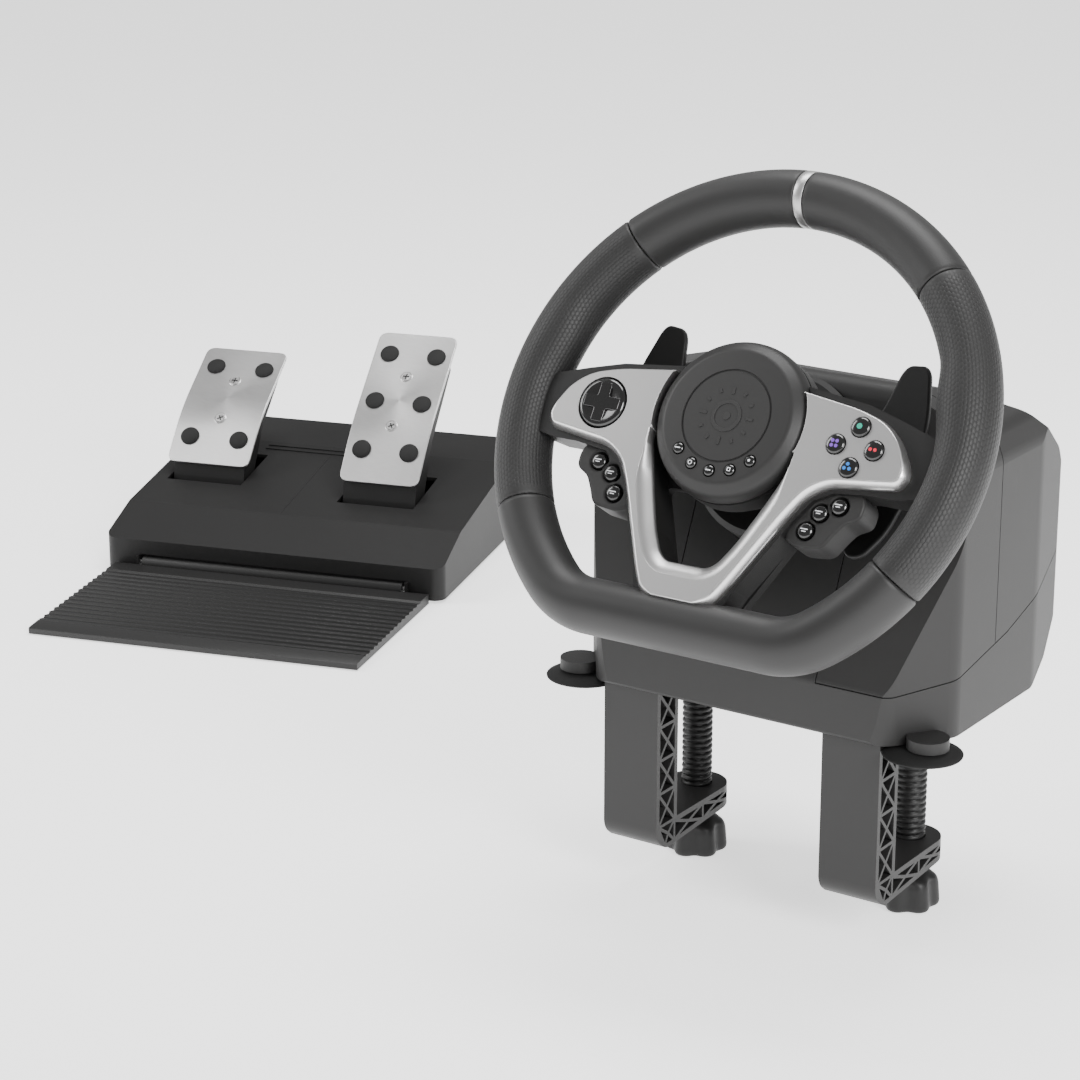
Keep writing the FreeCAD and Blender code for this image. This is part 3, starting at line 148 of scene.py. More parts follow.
class Finish:
    """One material: a Principled surface whose varying inputs come from fields."""

    def __init__(self, name, **constants):
        self.material = bpy.data.materials.new(name)
        self.material.use_nodes = True
        self.tree = self.material.node_tree
        self.surface = self.tree.nodes["Principled BSDF"]
        for key, value in constants.items():
            self.surface.inputs[key.replace("_", " ")].default_value = value

    def node(self, kind, settings=None, values=None, output=0):
        made = add_node(self.tree, kind, settings, values)
        return Field(self.tree, made.outputs[output])

    def place(self):
        """The point's own coordinates, in metres."""
        return self.node("ShaderNodeTexCoord", output=3)

    def skin(self):
        """The point's flat coordinates on a swept skin, in metres: along it and round it."""
        return self.node("ShaderNodeUVMap", {"uv_map": "skin"})

    def parts(self, vector):
        made = add_node(self.tree, "ShaderNodeSeparateXYZ", None, {0: vector})
        return [Field(self.tree, made.outputs[index]) for index in range(3)]

    def noise(self, scale, detail=2.0, stretch=None):
        vector = self.place()
        if stretch:
            vector = self.node("ShaderNodeMapping", None, {"Vector": vector, "Scale": stretch})
        return self.node("ShaderNodeTexNoise", None, {"Vector": vector, "Scale": scale, "Detail": detail})

    def cell_edges(self, scale):
        """The distance to the edges of scattered cells."""
        return self.node("ShaderNodeTexVoronoi", {"feature": "DISTANCE_TO_EDGE"},
                         {"Vector": self.place(), "Scale": scale})

    def colour(self, share, low, high):
        """A colour between two, by a field."""
        made = add_node(self.tree, "ShaderNodeMix", {"data_type": "RGBA"}, {0: share})
        for key, value in ((6, low), (7, high)):
            if isinstance(value, Field):
                self.tree.links.new(value.socket, made.inputs[key])
            else:
                made.inputs[key].default_value = (*value, 1)
        return Field(self.tree, made.outputs[2])

    def bump(self, height, depth, under=None):
        return self.node("ShaderNodeBump", None,
                         {"Height": height, "Distance": depth, "Strength": 1.0, "Normal": under})

    def set(self, **fields):
        for key, value in fields.items():
            self.tree.links.new(value.socket, self.surface.inputs[key.replace("_", " ")])
        return self.material


def tone(value, warm=0.0):
    """A near-grey colour, a little warm."""
    return (value * (1 + warm), value, value * (1 - warm * 0.6))


def moulded(name, shade, rough=0.5, grain=2600, depth=0.00006, gloss=0.5, warm=0.02):
    """Injection-moulded plastic with a fine spark-eroded grain and faint handling marks."""
    finish = Finish(name, Specular_IOR_Level=gloss)
    fine = finish.noise(grain, 3)
    broad = finish.noise(9, 3)
    scuffs = finish.noise(60, 6, stretch=(1, 5, 1))
    marks = (scuffs - 0.62).held() * 1.6
    mixed = finish.colour(broad * 0.8 + fine * 0.3, tone(shade * 0.86, warm), tone(shade * 1.14, warm))
    return finish.set(Base_Color=finish.colour(marks, mixed, tone(shade * 1.4, warm)),
                      Roughness=(rough - 0.06) + fine * 0.1 + broad * 0.06 - marks * 0.1,
                      Normal=finish.bump(fine, depth))


# The embossed scales of the rim's side grips, in metres.
SCALE_LENGTH = 0.0029
SCALE_WIDTH = 0.0021
SCALE_HEIGHT = 0.0002


def soft_skin(name, shade, embossed):
    """The rim's soft-touch skin: smooth with a leathery pore, or embossed with small scales whose gaps are
    darkened with painted shade.
    """
    finish = Finish(name, Specular_IOR_Level=0.45, Sheen_Weight=0.06, Sheen_Roughness=0.4)
    pore = finish.noise(2200, 3)
    broad = finish.noise(14, 3)
    rough = 0.42 + broad * 0.12 + pore * 0.06
    under = finish.bump(pore, 0.00005)
    colour = finish.colour(broad, tone(shade * 0.85, 0.02), tone(shade * 1.15, 0.02))
    if embossed:
        along, across, _ = finish.parts(finish.skin())
        row = (across / SCALE_WIDTH).floor()
        shift = row.saw(2.0) * 0.5
        u = ((along / SCALE_LENGTH) + shift).saw(1.0) - 0.5
        w = (across / SCALE_WIDTH).saw(1.0) - 0.5
        dome = (1.0 - (u * u * 3.4 + w * w * 3.4)).most(0.0)
        fade = 1.0 - finish.node("ShaderNodeAttribute", {"attribute_name": "smooth_end"}, output=2)
        relief = dome.root() * fade
        under = finish.bump(relief, SCALE_HEIGHT, under)
        rough = rough + (1.0 - dome.held()) * 0.12 - 0.03
        # Painted shade: in the gaps between the scales, the colour darkens towards 0.55 of the skin's shade.
        colour = finish.colour((1.0 - dome.held()) * 0.55 * fade, colour, tone(shade * 0.55, 0.02))
    return finish.set(Base_Color=colour, Roughness=rough, Normal=under)


def satin_metal(name, shade, rough, streak=None):
    """Metallic paint, or brushed sheet where a streak direction is given."""
    finish = Finish(name, Anisotropic=0.35 if streak else 0.0, Coat_Roughness=0.12)
    flake = finish.noise(3200, 2)
    broad = finish.noise(16, 3)
    height = flake
    if streak:
        height = finish.noise(1.0, 4, stretch=streak) * 0.7 + finish.noise(2.2, 2, stretch=streak) * 0.3
    return finish.set(Base_Color=finish.colour(height, tone(shade * 0.88, 0.012), tone(shade * 1.08, 0.006)),
                      Roughness=(rough - 0.05) + height * 0.12 + broad * 0.05,
                      Metallic=broad * 0.04 + 0.97,
                      Normal=finish.bump(height, 0.00002 if streak else 0.000008))


def polished(name, shade):
    """Glossy key plastic, with hairline wear."""
    finish = Finish(name, Coat_Roughness=0.05, Specular_IOR_Level=0.55)
    hair = finish.noise(300, 5, stretch=(1, 9, 1))
    wear = (hair - 0.6).held() * 2.0
    base = tone(shade, 0.01)
    return finish.set(Base_Color=finish.colour(wear, base, tuple(c * 1.6 + 0.01 for c in base)),
                      Roughness=0.13 + wear * 0.15 + hair * 0.05,
                      Coat_Weight=0.6 - wear * 0.2)


def painted_glow_mark(name, colour):
    """The coloured mark seen through a glossy key, with a painted glow: it emits its own colour though it is no
    lamp.
    """
    # Painted glow: the mark's colour is also emitted, so the mark shines as if lit from inside.
    finish = Finish(name, Emission_Strength=0.35, Specular_IOR_Level=0.6)
    deep = finish.noise(900, 3)
    mixed = finish.colour(deep, tuple(c * 0.7 for c in colour), colour)
    return finish.set(Base_Color=mixed, Emission_Color=mixed, Roughness=0.18 + deep * 0.1)


def rubber(name, shade):
    """Matt moulded rubber with a little dust."""
    finish = Finish(name, Specular_IOR_Level=0.35)
    dust = finish.noise(40, 5)
    fine = finish.noise(1800, 2)
    return finish.set(Base_Color=finish.colour(dust, tone(shade * 0.8), tone(shade * 1.3, 0.02)),
                      Roughness=0.68 + fine * 0.16, Normal=finish.bump(fine, 0.00008))


def board_mask(name):
    """A circuit board's green mask, with lighter tracks."""
    finish = Finish(name)
    tracks = finish.cell_edges(260)
    lines = 1.0 - (tracks * 9.0).held()
    return finish.set(Base_Color=finish.colour(lines, (0.02, 0.12, 0.05), (0.05, 0.26, 0.12)),
                      Roughness=0.35 + lines * 0.2)


def floor_paper(name):
    """The studio's pale sheet, a little lit from itself."""
    finish = Finish(name, Specular_IOR_Level=0.1, Emission_Color=(1, 1, 1, 1), Emission_Strength=1.3)
    fibre = finish.noise(3, 4)
    return finish.set(Base_Color=finish.colour(fibre, (0.86, 0.86, 0.86), (0.9, 0.9, 0.9)),
                      Roughness=0.8 + fibre * 0.1)


CHARCOAL = moulded("charcoal_plastic", 0.022, 0.48, gloss=0.36)
CHARCOAL_DARK = moulded("charcoal_dark", 0.016, 0.52, gloss=0.3)
HUB_SKIN = moulded("hub_soft_plastic", 0.022, 0.44, grain=3200, depth=0.00003, gloss=0.35)
BLACK = moulded("black_plastic", 0.011, 0.42, gloss=0.35)
PEDAL_BLACK = moulded("pedal_black", 0.013, 0.50, gloss=0.3)
HEEL_BLACK = moulded("heel_plate_black", 0.016, 0.46, gloss=0.4)
SMOOTH_SKIN = soft_skin("rim_smooth_skin", 0.016, False)
SCALED_SKIN = soft_skin("rim_scaled_skin", 0.016, True)
SILVER = satin_metal("silver_satin", 0.56, 0.36)
CHROME = satin_metal("bright_edge", 0.84, 0.27)
BRUSHED = satin_metal("brushed_plate", 0.62, 0.30, streak=(14, 900, 900))
STEEL = satin_metal("machined_steel", 0.52, 0.30, streak=(300, 300, 30))
GLOSS_KEY = polished("gloss_key", 0.004)
RUBBER = rubber("black_rubber", 0.012)
NYLON = moulded("white_nylon", 0.62, 0.42, warm=0.03)
GREY_NYLON = moulded("grey_nylon", 0.13, 0.5)
BOARD = board_mask("board_green")
ICON = painted_glow_mark("icon_white", (0.75, 0.76, 0.78))
MARKS = {"top": painted_glow_mark("mark_green", (0.02, 0.38, 0.26)),
         "right": painted_glow_mark("mark_red", (0.72, 0.03, 0.06)),
         "bottom": painted_glow_mark("mark_blue", (0.03, 0.20, 0.62)),
         "left": painted_glow_mark("mark_violet", (0.20, 0.08, 0.50))}

SLOT_FINISH = {"charcoal_plastic": CHARCOAL, "grip_rubber": SMOOTH_SKIN, "silver_satin": SILVER,
               "black_plastic": BLACK, "black_rubber": RUBBER, "steel": STEEL, "white_nylon": NYLON,
               "grey_nylon": GREY_NYLON, "board_green": BOARD, "brushed_plate": BRUSHED,
               "gloss_key": GLOSS_KEY, "key_green": GLOSS_KEY, "key_violet": GLOSS_KEY,
               "key_red": GLOSS_KEY, "key_blue": GLOSS_KEY}
NODE_FINISH = {"wheel_frame": BLACK, "hub_cover": HUB_SKIN, "hub_rear_shell": CHARCOAL_DARK,
               "column_bezel": CHARCOAL_DARK, "spoke_backing": BLACK, "pedal_housing": PEDAL_BLACK,
               "heel_plate": HEEL_BLACK, "gas_arm": PEDAL_BLACK, "brake_arm": PEDAL_BLACK}


# ------------------------------------------------------------------ mesh tools

def piece(name, mesh, body, finish, stands_for=(), crease=35):
    """A finished mesh in the row frame, riding on a body."""
    mesh.materials.clear()
    mesh.materials.append(finish)
    for face in mesh.polygons:
        face.use_smooth = True
    mesh.set_sharp_from_angle(angle=math.radians(crease))
    thing = bpy.data.objects.new(name, mesh)
    bpy.context.scene.collection.objects.link(thing)
    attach(thing, body)
    if stands_for:
        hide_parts(*stands_for)
    return thing


def from_bmesh(name, form, place):
    bmesh.ops.recalc_face_normals(form, faces=form.faces)
    form.transform(place)
    mesh = bpy.data.meshes.new(name)
    form.to_mesh(mesh)
    form.free()
    return mesh


def lathe(name, profile, place, steps=96, wave=None):
    """A closed skin turned about Z from (radius, height) points; wave may vary the radius with the angle."""
    form = bmesh.new()
    rings = []
    for radius, height in profile:
        if radius < 1e-6:
            rings.append([form.verts.new((0, 0, height))])
            continue
        ring = []
        for step in range(steps):
            angle = 2 * math.pi * step / steps
            reach = radius * (wave(angle, height) if wave else 1)
            ring.append(form.verts.new((reach * math.cos(angle), reach * math.sin(angle), height)))
        rings.append(ring)
    for low, high in zip(rings, rings[1:]):
        for step in range(steps):
            after = (step + 1) % steps
            corners = [low[step % len(low)], low[after % len(low)],
                       high[after % len(high)], high[step % len(high)]]
            unique = list(dict.fromkeys(corners))
            if len(unique) > 2:
                form.faces.new(unique)
    return from_bmesh(name, form, place)


def rounded_corner(before, corner, after, radius, most, steps):
    """The points of one corner's curve; most is the largest share of a side that it may take."""
    centre = Vector(corner)
    back = Vector(before) - centre
    ahead = Vector(after) - centre
    reach = min(radius, back.length * most, ahead.length * most)
    start = centre + back.normalized() * reach
    end = centre + ahead.normalized() * reach
    shares = [step / steps for step in range(steps + 1)]
    return [tuple(start.lerp(centre, share).lerp(centre.lerp(end, share), share)) for share in shares]


def rounded_profile(points, radius, steps=5):
    """Half outline points with every inner corner rounded."""
    made = [points[0]]
    for before, corner, after in zip(points, points[1:], points[2:]):
        made += rounded_corner(before, corner, after, radius, 0.45, steps)
    made.append(points[-1])
    return made


def closed_outline(points, radii, steps=6):
    """A closed outline with rounded corners, as a list of points."""
    made = []
    count = len(points)
    for index in range(count):
        radius = radii[index % len(radii)] if isinstance(radii, (list, tuple)) else radii
        after = points[(index + 1) % count]
        made += rounded_corner(points[index - 1], points[index], after, radius, 0.49, steps)
    return made


def plate(name, loops, low, high, bevel, place, steps=3):
    """A flat moulding between two heights, with rounded rims; the first loop is its outside."""
    curve = bpy.data.curves.new(name, "CURVE")
    curve.dimensions = "2D"
    curve.fill_mode = "BOTH"
    curve.extrude = (high - low) / 2 - bevel
    curve.bevel_depth = bevel
    curve.bevel_resolution = steps
    curve.offset = -bevel
    for loop in loops:
        spline = curve.splines.new("POLY")
        spline.points.add(len(loop) - 1)
        for point, (x, y) in zip(spline.points, loop):
            point.co = (x, y, 0, 1)
        spline.use_cyclic_u = True
    thing = bpy.data.objects.new(name, curve)
    bpy.context.scene.collection.objects.link(thing)
    bpy.context.view_layer.update()
    mesh = bpy.data.meshes.new_from_object(thing.evaluated_get(bpy.context.evaluated_depsgraph_get()))
    bpy.data.objects.remove(thing)
    mesh.transform(place @ Matrix.Translation((0, 0, (high + low) / 2)))
    return mesh


def circle_loop(x, y, radius, steps=40):
    angles = [2 * math.pi * k / steps for k in range(steps)]
    return [(x + radius * math.cos(angle), y + radius * math.sin(angle)) for angle in angles]


def swept(name, stations, section, place):
    """A skin through rings at stations; each station turns a section angle into a point."""
    form = bmesh.new()
    skin = form.loops.layers.uv.new("skin")
    ends = form.verts.layers.float.new("smooth_end")
    rings = []
    for station in stations:
        ring = []
        for step in range(section):
            vertex = form.verts.new(station["at"](2 * math.pi * step / section))
            vertex[ends] = station.get("smooth", 0.0)
            ring.append(vertex)
        rings.append(ring)
    for row, (low, high) in enumerate(zip(rings, rings[1:])):
        for step in range(section):
            after = (step + 1) % section
            made = form.faces.new([low[step], low[after], high[after], high[step]])
            girth = stations[row]["girth"]
            flats = [(stations[row]["run"], step), (stations[row]["run"], step + 1),
                     (stations[row + 1]["run"], step + 1), (stations[row + 1]["run"], step)]
            for loop, (run, k) in zip(made.loops, flats):
                loop[skin].uv = (run * MM, girth * MM * k / section)
    for ring in (rings[0], rings[-1]):
        form.faces.new(ring)
    return from_bmesh(name, form, place)


# ------------------------------------------------------------------ rim

RIM_RADIUS = 125.4
TUBE_WIDE = 14.6
TUBE_DEEP = 17.4
FLAT_DROP = 107.0
CORNER = 40.0
corner_y = CORNER - FLAT_DROP
corner_x = math.sqrt((RIM_RADIUS - CORNER) ** 2 - corner_y ** 2)
corner_angle = math.atan2(corner_y, corner_x)
GIRTH = math.pi * (TUBE_WIDE + TUBE_DEEP)
SECTION = 72
SEAM_GAP = 0.25
SEAM_TUCK = 0.9
SEAM_ROOT = 3.0


def rim_point(run):
    """A point of the rim's centreline and the way out, by the run from the top to the driver's right."""
    side = 1 if run >= 0 else -1
    run = abs(run)
    main = RIM_RADIUS * (math.pi / 2 - corner_angle)
    bend = CORNER * (math.pi / 2 + corner_angle)
    if run <= main:
        angle = math.pi / 2 - run / RIM_RADIUS
        out = Vector((math.cos(angle), math.sin(angle), 0))
        point = out * RIM_RADIUS
    elif run <= main + bend:
        angle = corner_angle - (run - main) / CORNER
        out = Vector((math.cos(angle), math.sin(angle), 0))
        point = Vector((corner_x, corner_y, 0)) + out * CORNER
    else:
        out = Vector((0, -1, 0))
        point = Vector((corner_x - (run - main - bend), -FLAT_DROP, 0))
    return Vector((side * point.x, point.y, 0)), Vector((side * out.x, out.y, 0))


def run_at(angle):
    return RIM_RADIUS * (math.pi / 2 - math.radians(angle))


def ease(share):
    share = min(max(share, 0), 1)
    return share * share * (3 - 2 * share)


THUMB_RUN = run_at(15)


def rim_station(run, shrink=0.0, smooth=0.0, thumb=False):
    """One ring of the rim: an ellipse, swollen inwards and forwards at the thumb rests."""
    centre, out = rim_point(run)
    offset = (abs(run) - THUMB_RUN) / 26
    swell = 0.0
    if thumb:
        swell = ease(1 - abs(offset)) if offset < 0 else ease(1 - offset / 1.3)

    def at(angle):
        across = math.cos(angle)
        rise = math.sin(angle)
        lift = swell * max(0.0, math.cos(angle - math.radians(140))) ** 2
        wide = TUBE_WIDE - shrink + 3.4 * lift
        deep = TUBE_DEEP - shrink + 2.0 * lift
        return centre + out * (across * wide) + Vector((0, 0, rise * deep))

    return {"at": at, "run": run, "girth": GIRTH, "smooth": smooth}


def grip(name, node, first, last, finish, thumb=False):
    """One section of the rim's skin, tucked in at both seams."""
    first += SEAM_GAP
    last -= SEAM_GAP
    rings = 110
    runs = [first + (last - first) * k / rings for k in range(1, rings)]
    stations = [rim_station(first, SEAM_ROOT), rim_station(first, SEAM_TUCK)]
    stations.append(rim_station(first + 0.5, 0.25, 1.0))
    stations += [rim_station(first + 1.2, 0, 1.0), rim_station(first + 3.0, 0, 1.0, thumb)]
    for run in runs:
        edge = min(run - first, last - run)
        if edge > 3.5:
            stations.append(rim_station(run, 0, 1 - ease((edge - 3) / 3), thumb))
    stations += [rim_station(last - 3.0, 0, 1.0, thumb), rim_station(last - 1.2, 0, 1.0)]
    stations.append(rim_station(last - 0.5, 0.25, 1.0))
    stations += [rim_station(last, SEAM_TUCK), rim_station(last, SEAM_ROOT)]
    mesh = swept(name, stations, SECTION, WHEEL)
    return piece(name, mesh, "wheel", finish, [node] if node else [], crease=60)


half_length = RIM_RADIUS * (math.pi / 2 - corner_angle) + CORNER * (math.pi / 2 + corner_angle) + corner_x
upper = run_at(45)
lower = run_at(-30)
BAND = 2.6
grip("rim_top_right_skin", "rim_top_grip", BAND, upper, SMOOTH_SKIN)
grip("rim_top_left_skin", None, -upper, -BAND, SMOOTH_SKIN)
grip("rim_right_skin", "rim_right_grip", upper, lower, SCALED_SKIN, thumb=True)
grip("rim_left_skin", "rim_left_grip", -lower, -upper, SCALED_SKIN, thumb=True)


def lower_station(run, shrink=0.0):
    """One ring of the lower section, whose run goes on past the middle of the flat."""
    signed = run if run <= half_length else run - 2 * half_length
    return dict(rim_station(signed, shrink), run=run)


# The smooth lower section, with both corners and the flat.
first = lower + SEAM_GAP
last = 2 * half_length - lower - SEAM_GAP
rings = 190
lower_stations = [lower_station(first, SEAM_ROOT), lower_station(first, SEAM_TUCK)]
lower_stations += [lower_station(first + (last - first) * k / rings) for k in range(1, rings)]
lower_stations += [lower_station(last, SEAM_TUCK), lower_station(last, SEAM_ROOT)]
lower_mesh = swept("rim_lower_skin", lower_stations, SECTION, WHEEL)
piece("rim_lower_skin", lower_mesh, "wheel", SMOOTH_SKIN, ["rim_bottom_grip"], crease=60)

band_rings = [(-BAND, SEAM_ROOT), (-BAND, 0.3), (-BAND + 0.4, 0), (0, 0), (BAND - 0.4, 0), (BAND, 0.3),
              (BAND, SEAM_ROOT)]
band_stations = [rim_station(run, shrink) for run, shrink in band_rings]
piece("rim_band", swept("rim_band", band_stations, SECTION, WHEEL), "wheel", SILVER,
      ["rim_top_band"], crease=50)

# ------------------------------------------------------------------ spoke and hub

HUB_GAP = 43.4
FACE_RIGHT = [(70, 16.5), (86, 12), (96, 4), (104, -8), (105.5, -14), (102, -20.5), (86, -22.6), (65, -25),
              (55, -31.5), (47.5, -44), (28, -84), (20, -98.4)]
WINDOW_RIGHT = [(41, -18), (33, -40), (23.5, -63), (17, -74), (12, -78)]
FACE_LOW = 8.6
FACE_TOP = 15.0
PAD_X = 74.0
PAD_Y = -4.0
FACE_KEYS = {"top": (0, 10.7), "right": (10.7, 0), "bottom": (0, -10.7), "left": (-10.7, 0)}


def hub_point(angle):
    """The point of the face's hub opening at an angle in degrees."""
    return (HUB_GAP * math.cos(math.radians(angle)), HUB_GAP * math.sin(math.radians(angle)))


def hub_arc(start, end, steps=16):
    """Points on the hub opening between two angles."""
    return [hub_point(start + (end - start) * k / steps) for k in range(1, steps)]


def moved_line(line, reach):
    """An open line shifted to its right by a distance at each point."""
    moved = []
    for index, (x, y) in enumerate(line):
        before = Vector(line[max(index - 1, 0)])
        after = Vector(line[min(index + 1, len(line) - 1)])
        run = (after - before).normalized()
        moved.append((x + run.y * reach[index], y - run.x * reach[index]))
    return moved


def trim(name, edge, inner, rise, low, place):
    """A moulded lip between two lines; rise lists (share across, height) from the edge inward."""
    form = bmesh.new()
    rings = []
    for (ax, ay), (bx, by) in zip(edge, inner):
        ring = [form.verts.new((ax, ay, low))]
        ring += [form.verts.new((ax + (bx - ax) * share, ay + (by - ay) * share, z)) for share, z in rise]
        ring.append(form.verts.new((bx, by, low)))
        rings.append(ring)
    for here, there in zip(rings, rings[1:]):
        for k in range(len(here)):
            after = (k + 1) % len(here)
            form.faces.new((here[k], here[after], there[after], there[k]))
    form.faces.new(rings[0])
    form.faces.new(rings[-1][::-1])
    return from_bmesh(name, form, place)


def mirror_line(line):
    return [(-x, y) for x, y in reversed(line)]


TOP_ANGLE = 28.4
LOW_ANGLE = -16.6
hub_top = hub_point(TOP_ANGLE)
hub_low = hub_point(LOW_ANGLE)
outer_right = [hub_top] + FACE_RIGHT
outer_radii = [0.5] + [7] * (len(FACE_RIGHT) - 1) + [9]
outer_edge = closed_outline(outer_right + mirror_line(outer_right), outer_radii + outer_radii[::-1])
inner_corners = [hub_low] + WINDOW_RIGHT + mirror_line(WINDOW_RIGHT) + [(-hub_low[0], hub_low[1])]
inner_edge = closed_outline(inner_corners, [0.5] + [9] * (len(inner_corners) - 2) + [0.5])


def lip_width(x, y):
    """The bright lip is narrow along the top and wide round the wing ends and the arms."""
    return 1.1 + 2.1 * ease((4 - y) / 16) * ease((abs(x) - 10) / 8 if y < -90 else 1)


def well_width(y):
    """The rounded slope into the V opening narrows away as it nears the hub."""
    return 1.0 + 6.4 * ease((-14 - y) / 26)


outer_line = moved_line(outer_edge, [lip_width(x, y) for x, y in outer_edge])
inner_line = moved_line(inner_edge, [-well_width(y) for _, y in inner_edge])
left_arc = hub_arc(180 - TOP_ANGLE, 180 - LOW_ANGLE)
right_arc = hub_arc(LOW_ANGLE, TOP_ANGLE)
field_line = outer_line + left_arc + inner_line[::-1] + right_arc
holes = [circle_loop(-PAD_X, PAD_Y, 14.1)]
holes += [circle_loop(PAD_X + x, PAD_Y + y, 5.45, 28) for x, y in FACE_KEYS.values()]
face_mesh = plate("spoke_face_plate", [field_line] + holes, FACE_LOW, FACE_TOP, 0.25, WHEEL, 2)
piece("spoke_face_plate", face_mesh, "wheel", SILVER, ["spoke_face"], crease=50)
lip = [(0, 10.6), (0.06, 11.2), (0.3, 12.6), (0.62, 14.1), (0.86, 14.8), (1, 14.9)]
lip_mesh = trim("spoke_bright_lip", outer_edge, outer_line, lip, FACE_LOW, WHEEL)
piece("spoke_bright_lip", lip_mesh, "wheel", CHROME, crease=60)
well = [(share / 10, FACE_TOP - 0.12 - 4.6 * (1 - share / 10) ** 1.9) for share in range(11)]
well_mesh = trim("spoke_window_slope", inner_edge, inner_line, well, FACE_LOW, WHEEL)
piece("spoke_window_slope", well_mesh, "wheel", SILVER, crease=60)

# The hub cap from its underside, over the rolled rim and the engraved ring, to its middle.
HUB_PROFILE = [(0, 3.2), (40.4, 3.2), (43, 3.0), (43, 7.0), (41.6, 12.4), (36.5, 16.2), (35.2, 16.7),
               (25.1, 16.98), (24.9, 16.3), (24.1, 16.3), (23.9, 16.98), (0, 17)]


def drilled(mesh, cutters):
    """Cuts round wells into a mesh."""
    host = bpy.data.objects.new("host", mesh)
    bpy.context.scene.collection.objects.link(host)
    made = []
    for cutter_mesh in cutters:
        tool = bpy.data.objects.new("cutter", cutter_mesh)
        bpy.context.scene.collection.objects.link(tool)
        made.append(tool)
        modifier = host.modifiers.new("cut", "BOOLEAN")
        modifier.object = tool
        modifier.operation = "DIFFERENCE"
        modifier.solver = "EXACT"
    bpy.context.view_layer.update()
    result = bpy.data.meshes.new_from_object(host.evaluated_get(bpy.context.evaluated_depsgraph_get()))
    for thing in [host, *made]:
        bpy.data.objects.remove(thing)
    return result


def shifted(place, x, y):
    return place @ Matrix.Translation((x, y, 0))


HUB_KEY_RING = 29.6
key_angles = [math.radians(22.5 * k) for k in range(-2, 3)]
hub_spots = [(HUB_KEY_RING * math.sin(angle), -HUB_KEY_RING * math.cos(angle)) for angle in key_angles]
well_shape = [(0, 12), (3.4, 12), (3.4, 22), (0, 22)]
wells = [lathe("well", well_shape, shifted(WHEEL, x, y), 28) for x, y in hub_spots]
smooth_hub = [HUB_PROFILE[0], HUB_PROFILE[1]] + rounded_profile(HUB_PROFILE[2:8], 6)[1:-1] + HUB_PROFILE[7:]
hub_mesh = drilled(lathe("hub_cap", smooth_hub, WHEEL, 128), wells)
piece("hub_cap", hub_mesh, "wheel", HUB_SKIN, ["hub_cover"], crease=32)

# The badge: twelve ticks round a ring and a dot, every third tick longer.
TICK_END = 15.5
TICK_HALF = 0.7
ticks = []
for k in range(12):
    turn = Matrix.Rotation(math.pi * k / 6, 2)
    start = 13.2 if k % 3 else 11.5
    corners = [(start, -TICK_HALF), (TICK_END, -TICK_HALF), (TICK_END, TICK_HALF), (start, TICK_HALF)]
    ticks.append([tuple(turn @ Vector(corner)) for corner in corners])
badge_rings = [circle_loop(0, 0, radius) for radius in (8.5, 6.6, 2.2)]
badge = plate("hub_badge", ticks + badge_rings, 16.8, 17.35, 0.12, WHEEL, 2)
piece("hub_badge", badge, "wheel", CHARCOAL)


# ------------------------------------------------------------------ keys

def key(name, body, radius, low, top, place, dome):
    """A round key with a rolled edge and a shallow crown."""
    profile = [(0, low), (radius, low), (radius, top - 0.9), (radius - 0.25, top - 0.35)]
    profile.append((radius - 0.9, top - 0.02))
    profile += [(radius * share, top + dome * (1 - share * share)) for share in (0.7, 0.5, 0.3, 0.12)]
    profile += [(0, top + dome)]
    mesh = lathe(name, profile, place, 40)
    return piece(name, mesh, body, GLOSS_KEY, [body], crease=40)


def icon(name, body, loops, height, place, finish):
    """A thin mark let into a key's crown."""
    mesh = plate(name, loops, height - 0.25, height + 0.12, 0.05, place, 1)
    return piece(name, mesh, body, finish)


def bar(width, height, x=0, y=0):
    """A rounded bar about a centre."""
    left, right = x - width / 2, x + width / 2
    low, high = y - height / 2, y + height / 2
    return closed_outline([(left, low), (right, low), (right, high), (left, high)], 0.3, 2)


PIPS = {"top": [(0, 0)], "right": [(-1.3, 0), (1.3, 0)], "bottom": [(0, 1.4), (-1.4, -0.9), (1.4, -0.9)],
        "left": [(-1.25, 1.25), (1.25, 1.25), (-1.25, -1.25), (1.25, -1.25)]}
for name, (x, y) in FACE_KEYS.items():
    place = shifted(WHEEL, PAD_X + x, PAD_Y + y)
    key("face_key_" + name, "face_button_" + name, 5.1, 8, 16.5, place, 0.5)
    dots = [circle_loop(px, py, 1.5 if name == "top" else 0.95, 16) for px, py in PIPS[name]]
    icon("face_key_mark_" + name, "face_button_" + name, dots, 16.95, place, MARKS[name])

POD_KEYS = [(70.7, -32.6), (61.3, -37.7), (56.4, -47.9)]
POD_OUTLINE = [(46, -47), (57, -25), (77, -20), (84, -28), (83.5, -37), (76, -41), (72, -47), (67.5, -55.5),
               (53, -57), (46, -54)]
POD_RADII = [1, 1, 4, 4, 3, 2, 3, 4, 3, 2]
for name, side in (("left", -1), ("right", 1)):
    rim_line = closed_outline([(side * x, y) for x, y in POD_OUTLINE], POD_RADII)
    holes = [circle_loop(side * x, y, 4.75, 28) for x, y in POD_KEYS]
    pod = plate(name + "_pod_shell", [rim_line] + holes, -13.5, 5.5, 1.6, WHEEL, 4)
    piece(name + "_pod_shell", pod, "wheel", CHARCOAL, [name + "_button_pod"], crease=45)
    for count, (x, y) in enumerate(POD_KEYS, start=1):
        body = "%s_pod_button_%d" % (name, count)
        place = shifted(WHEEL, side * x, y)
        key(body + "_cap", body, 4.3, -0.8, 6.9, place, 0.5)
        icon(body + "_icon", body, [bar(4.2, 0.55, 0, 0.5), bar(2.6, 0.5, 0, -0.7)], 7.35, place, ICON)

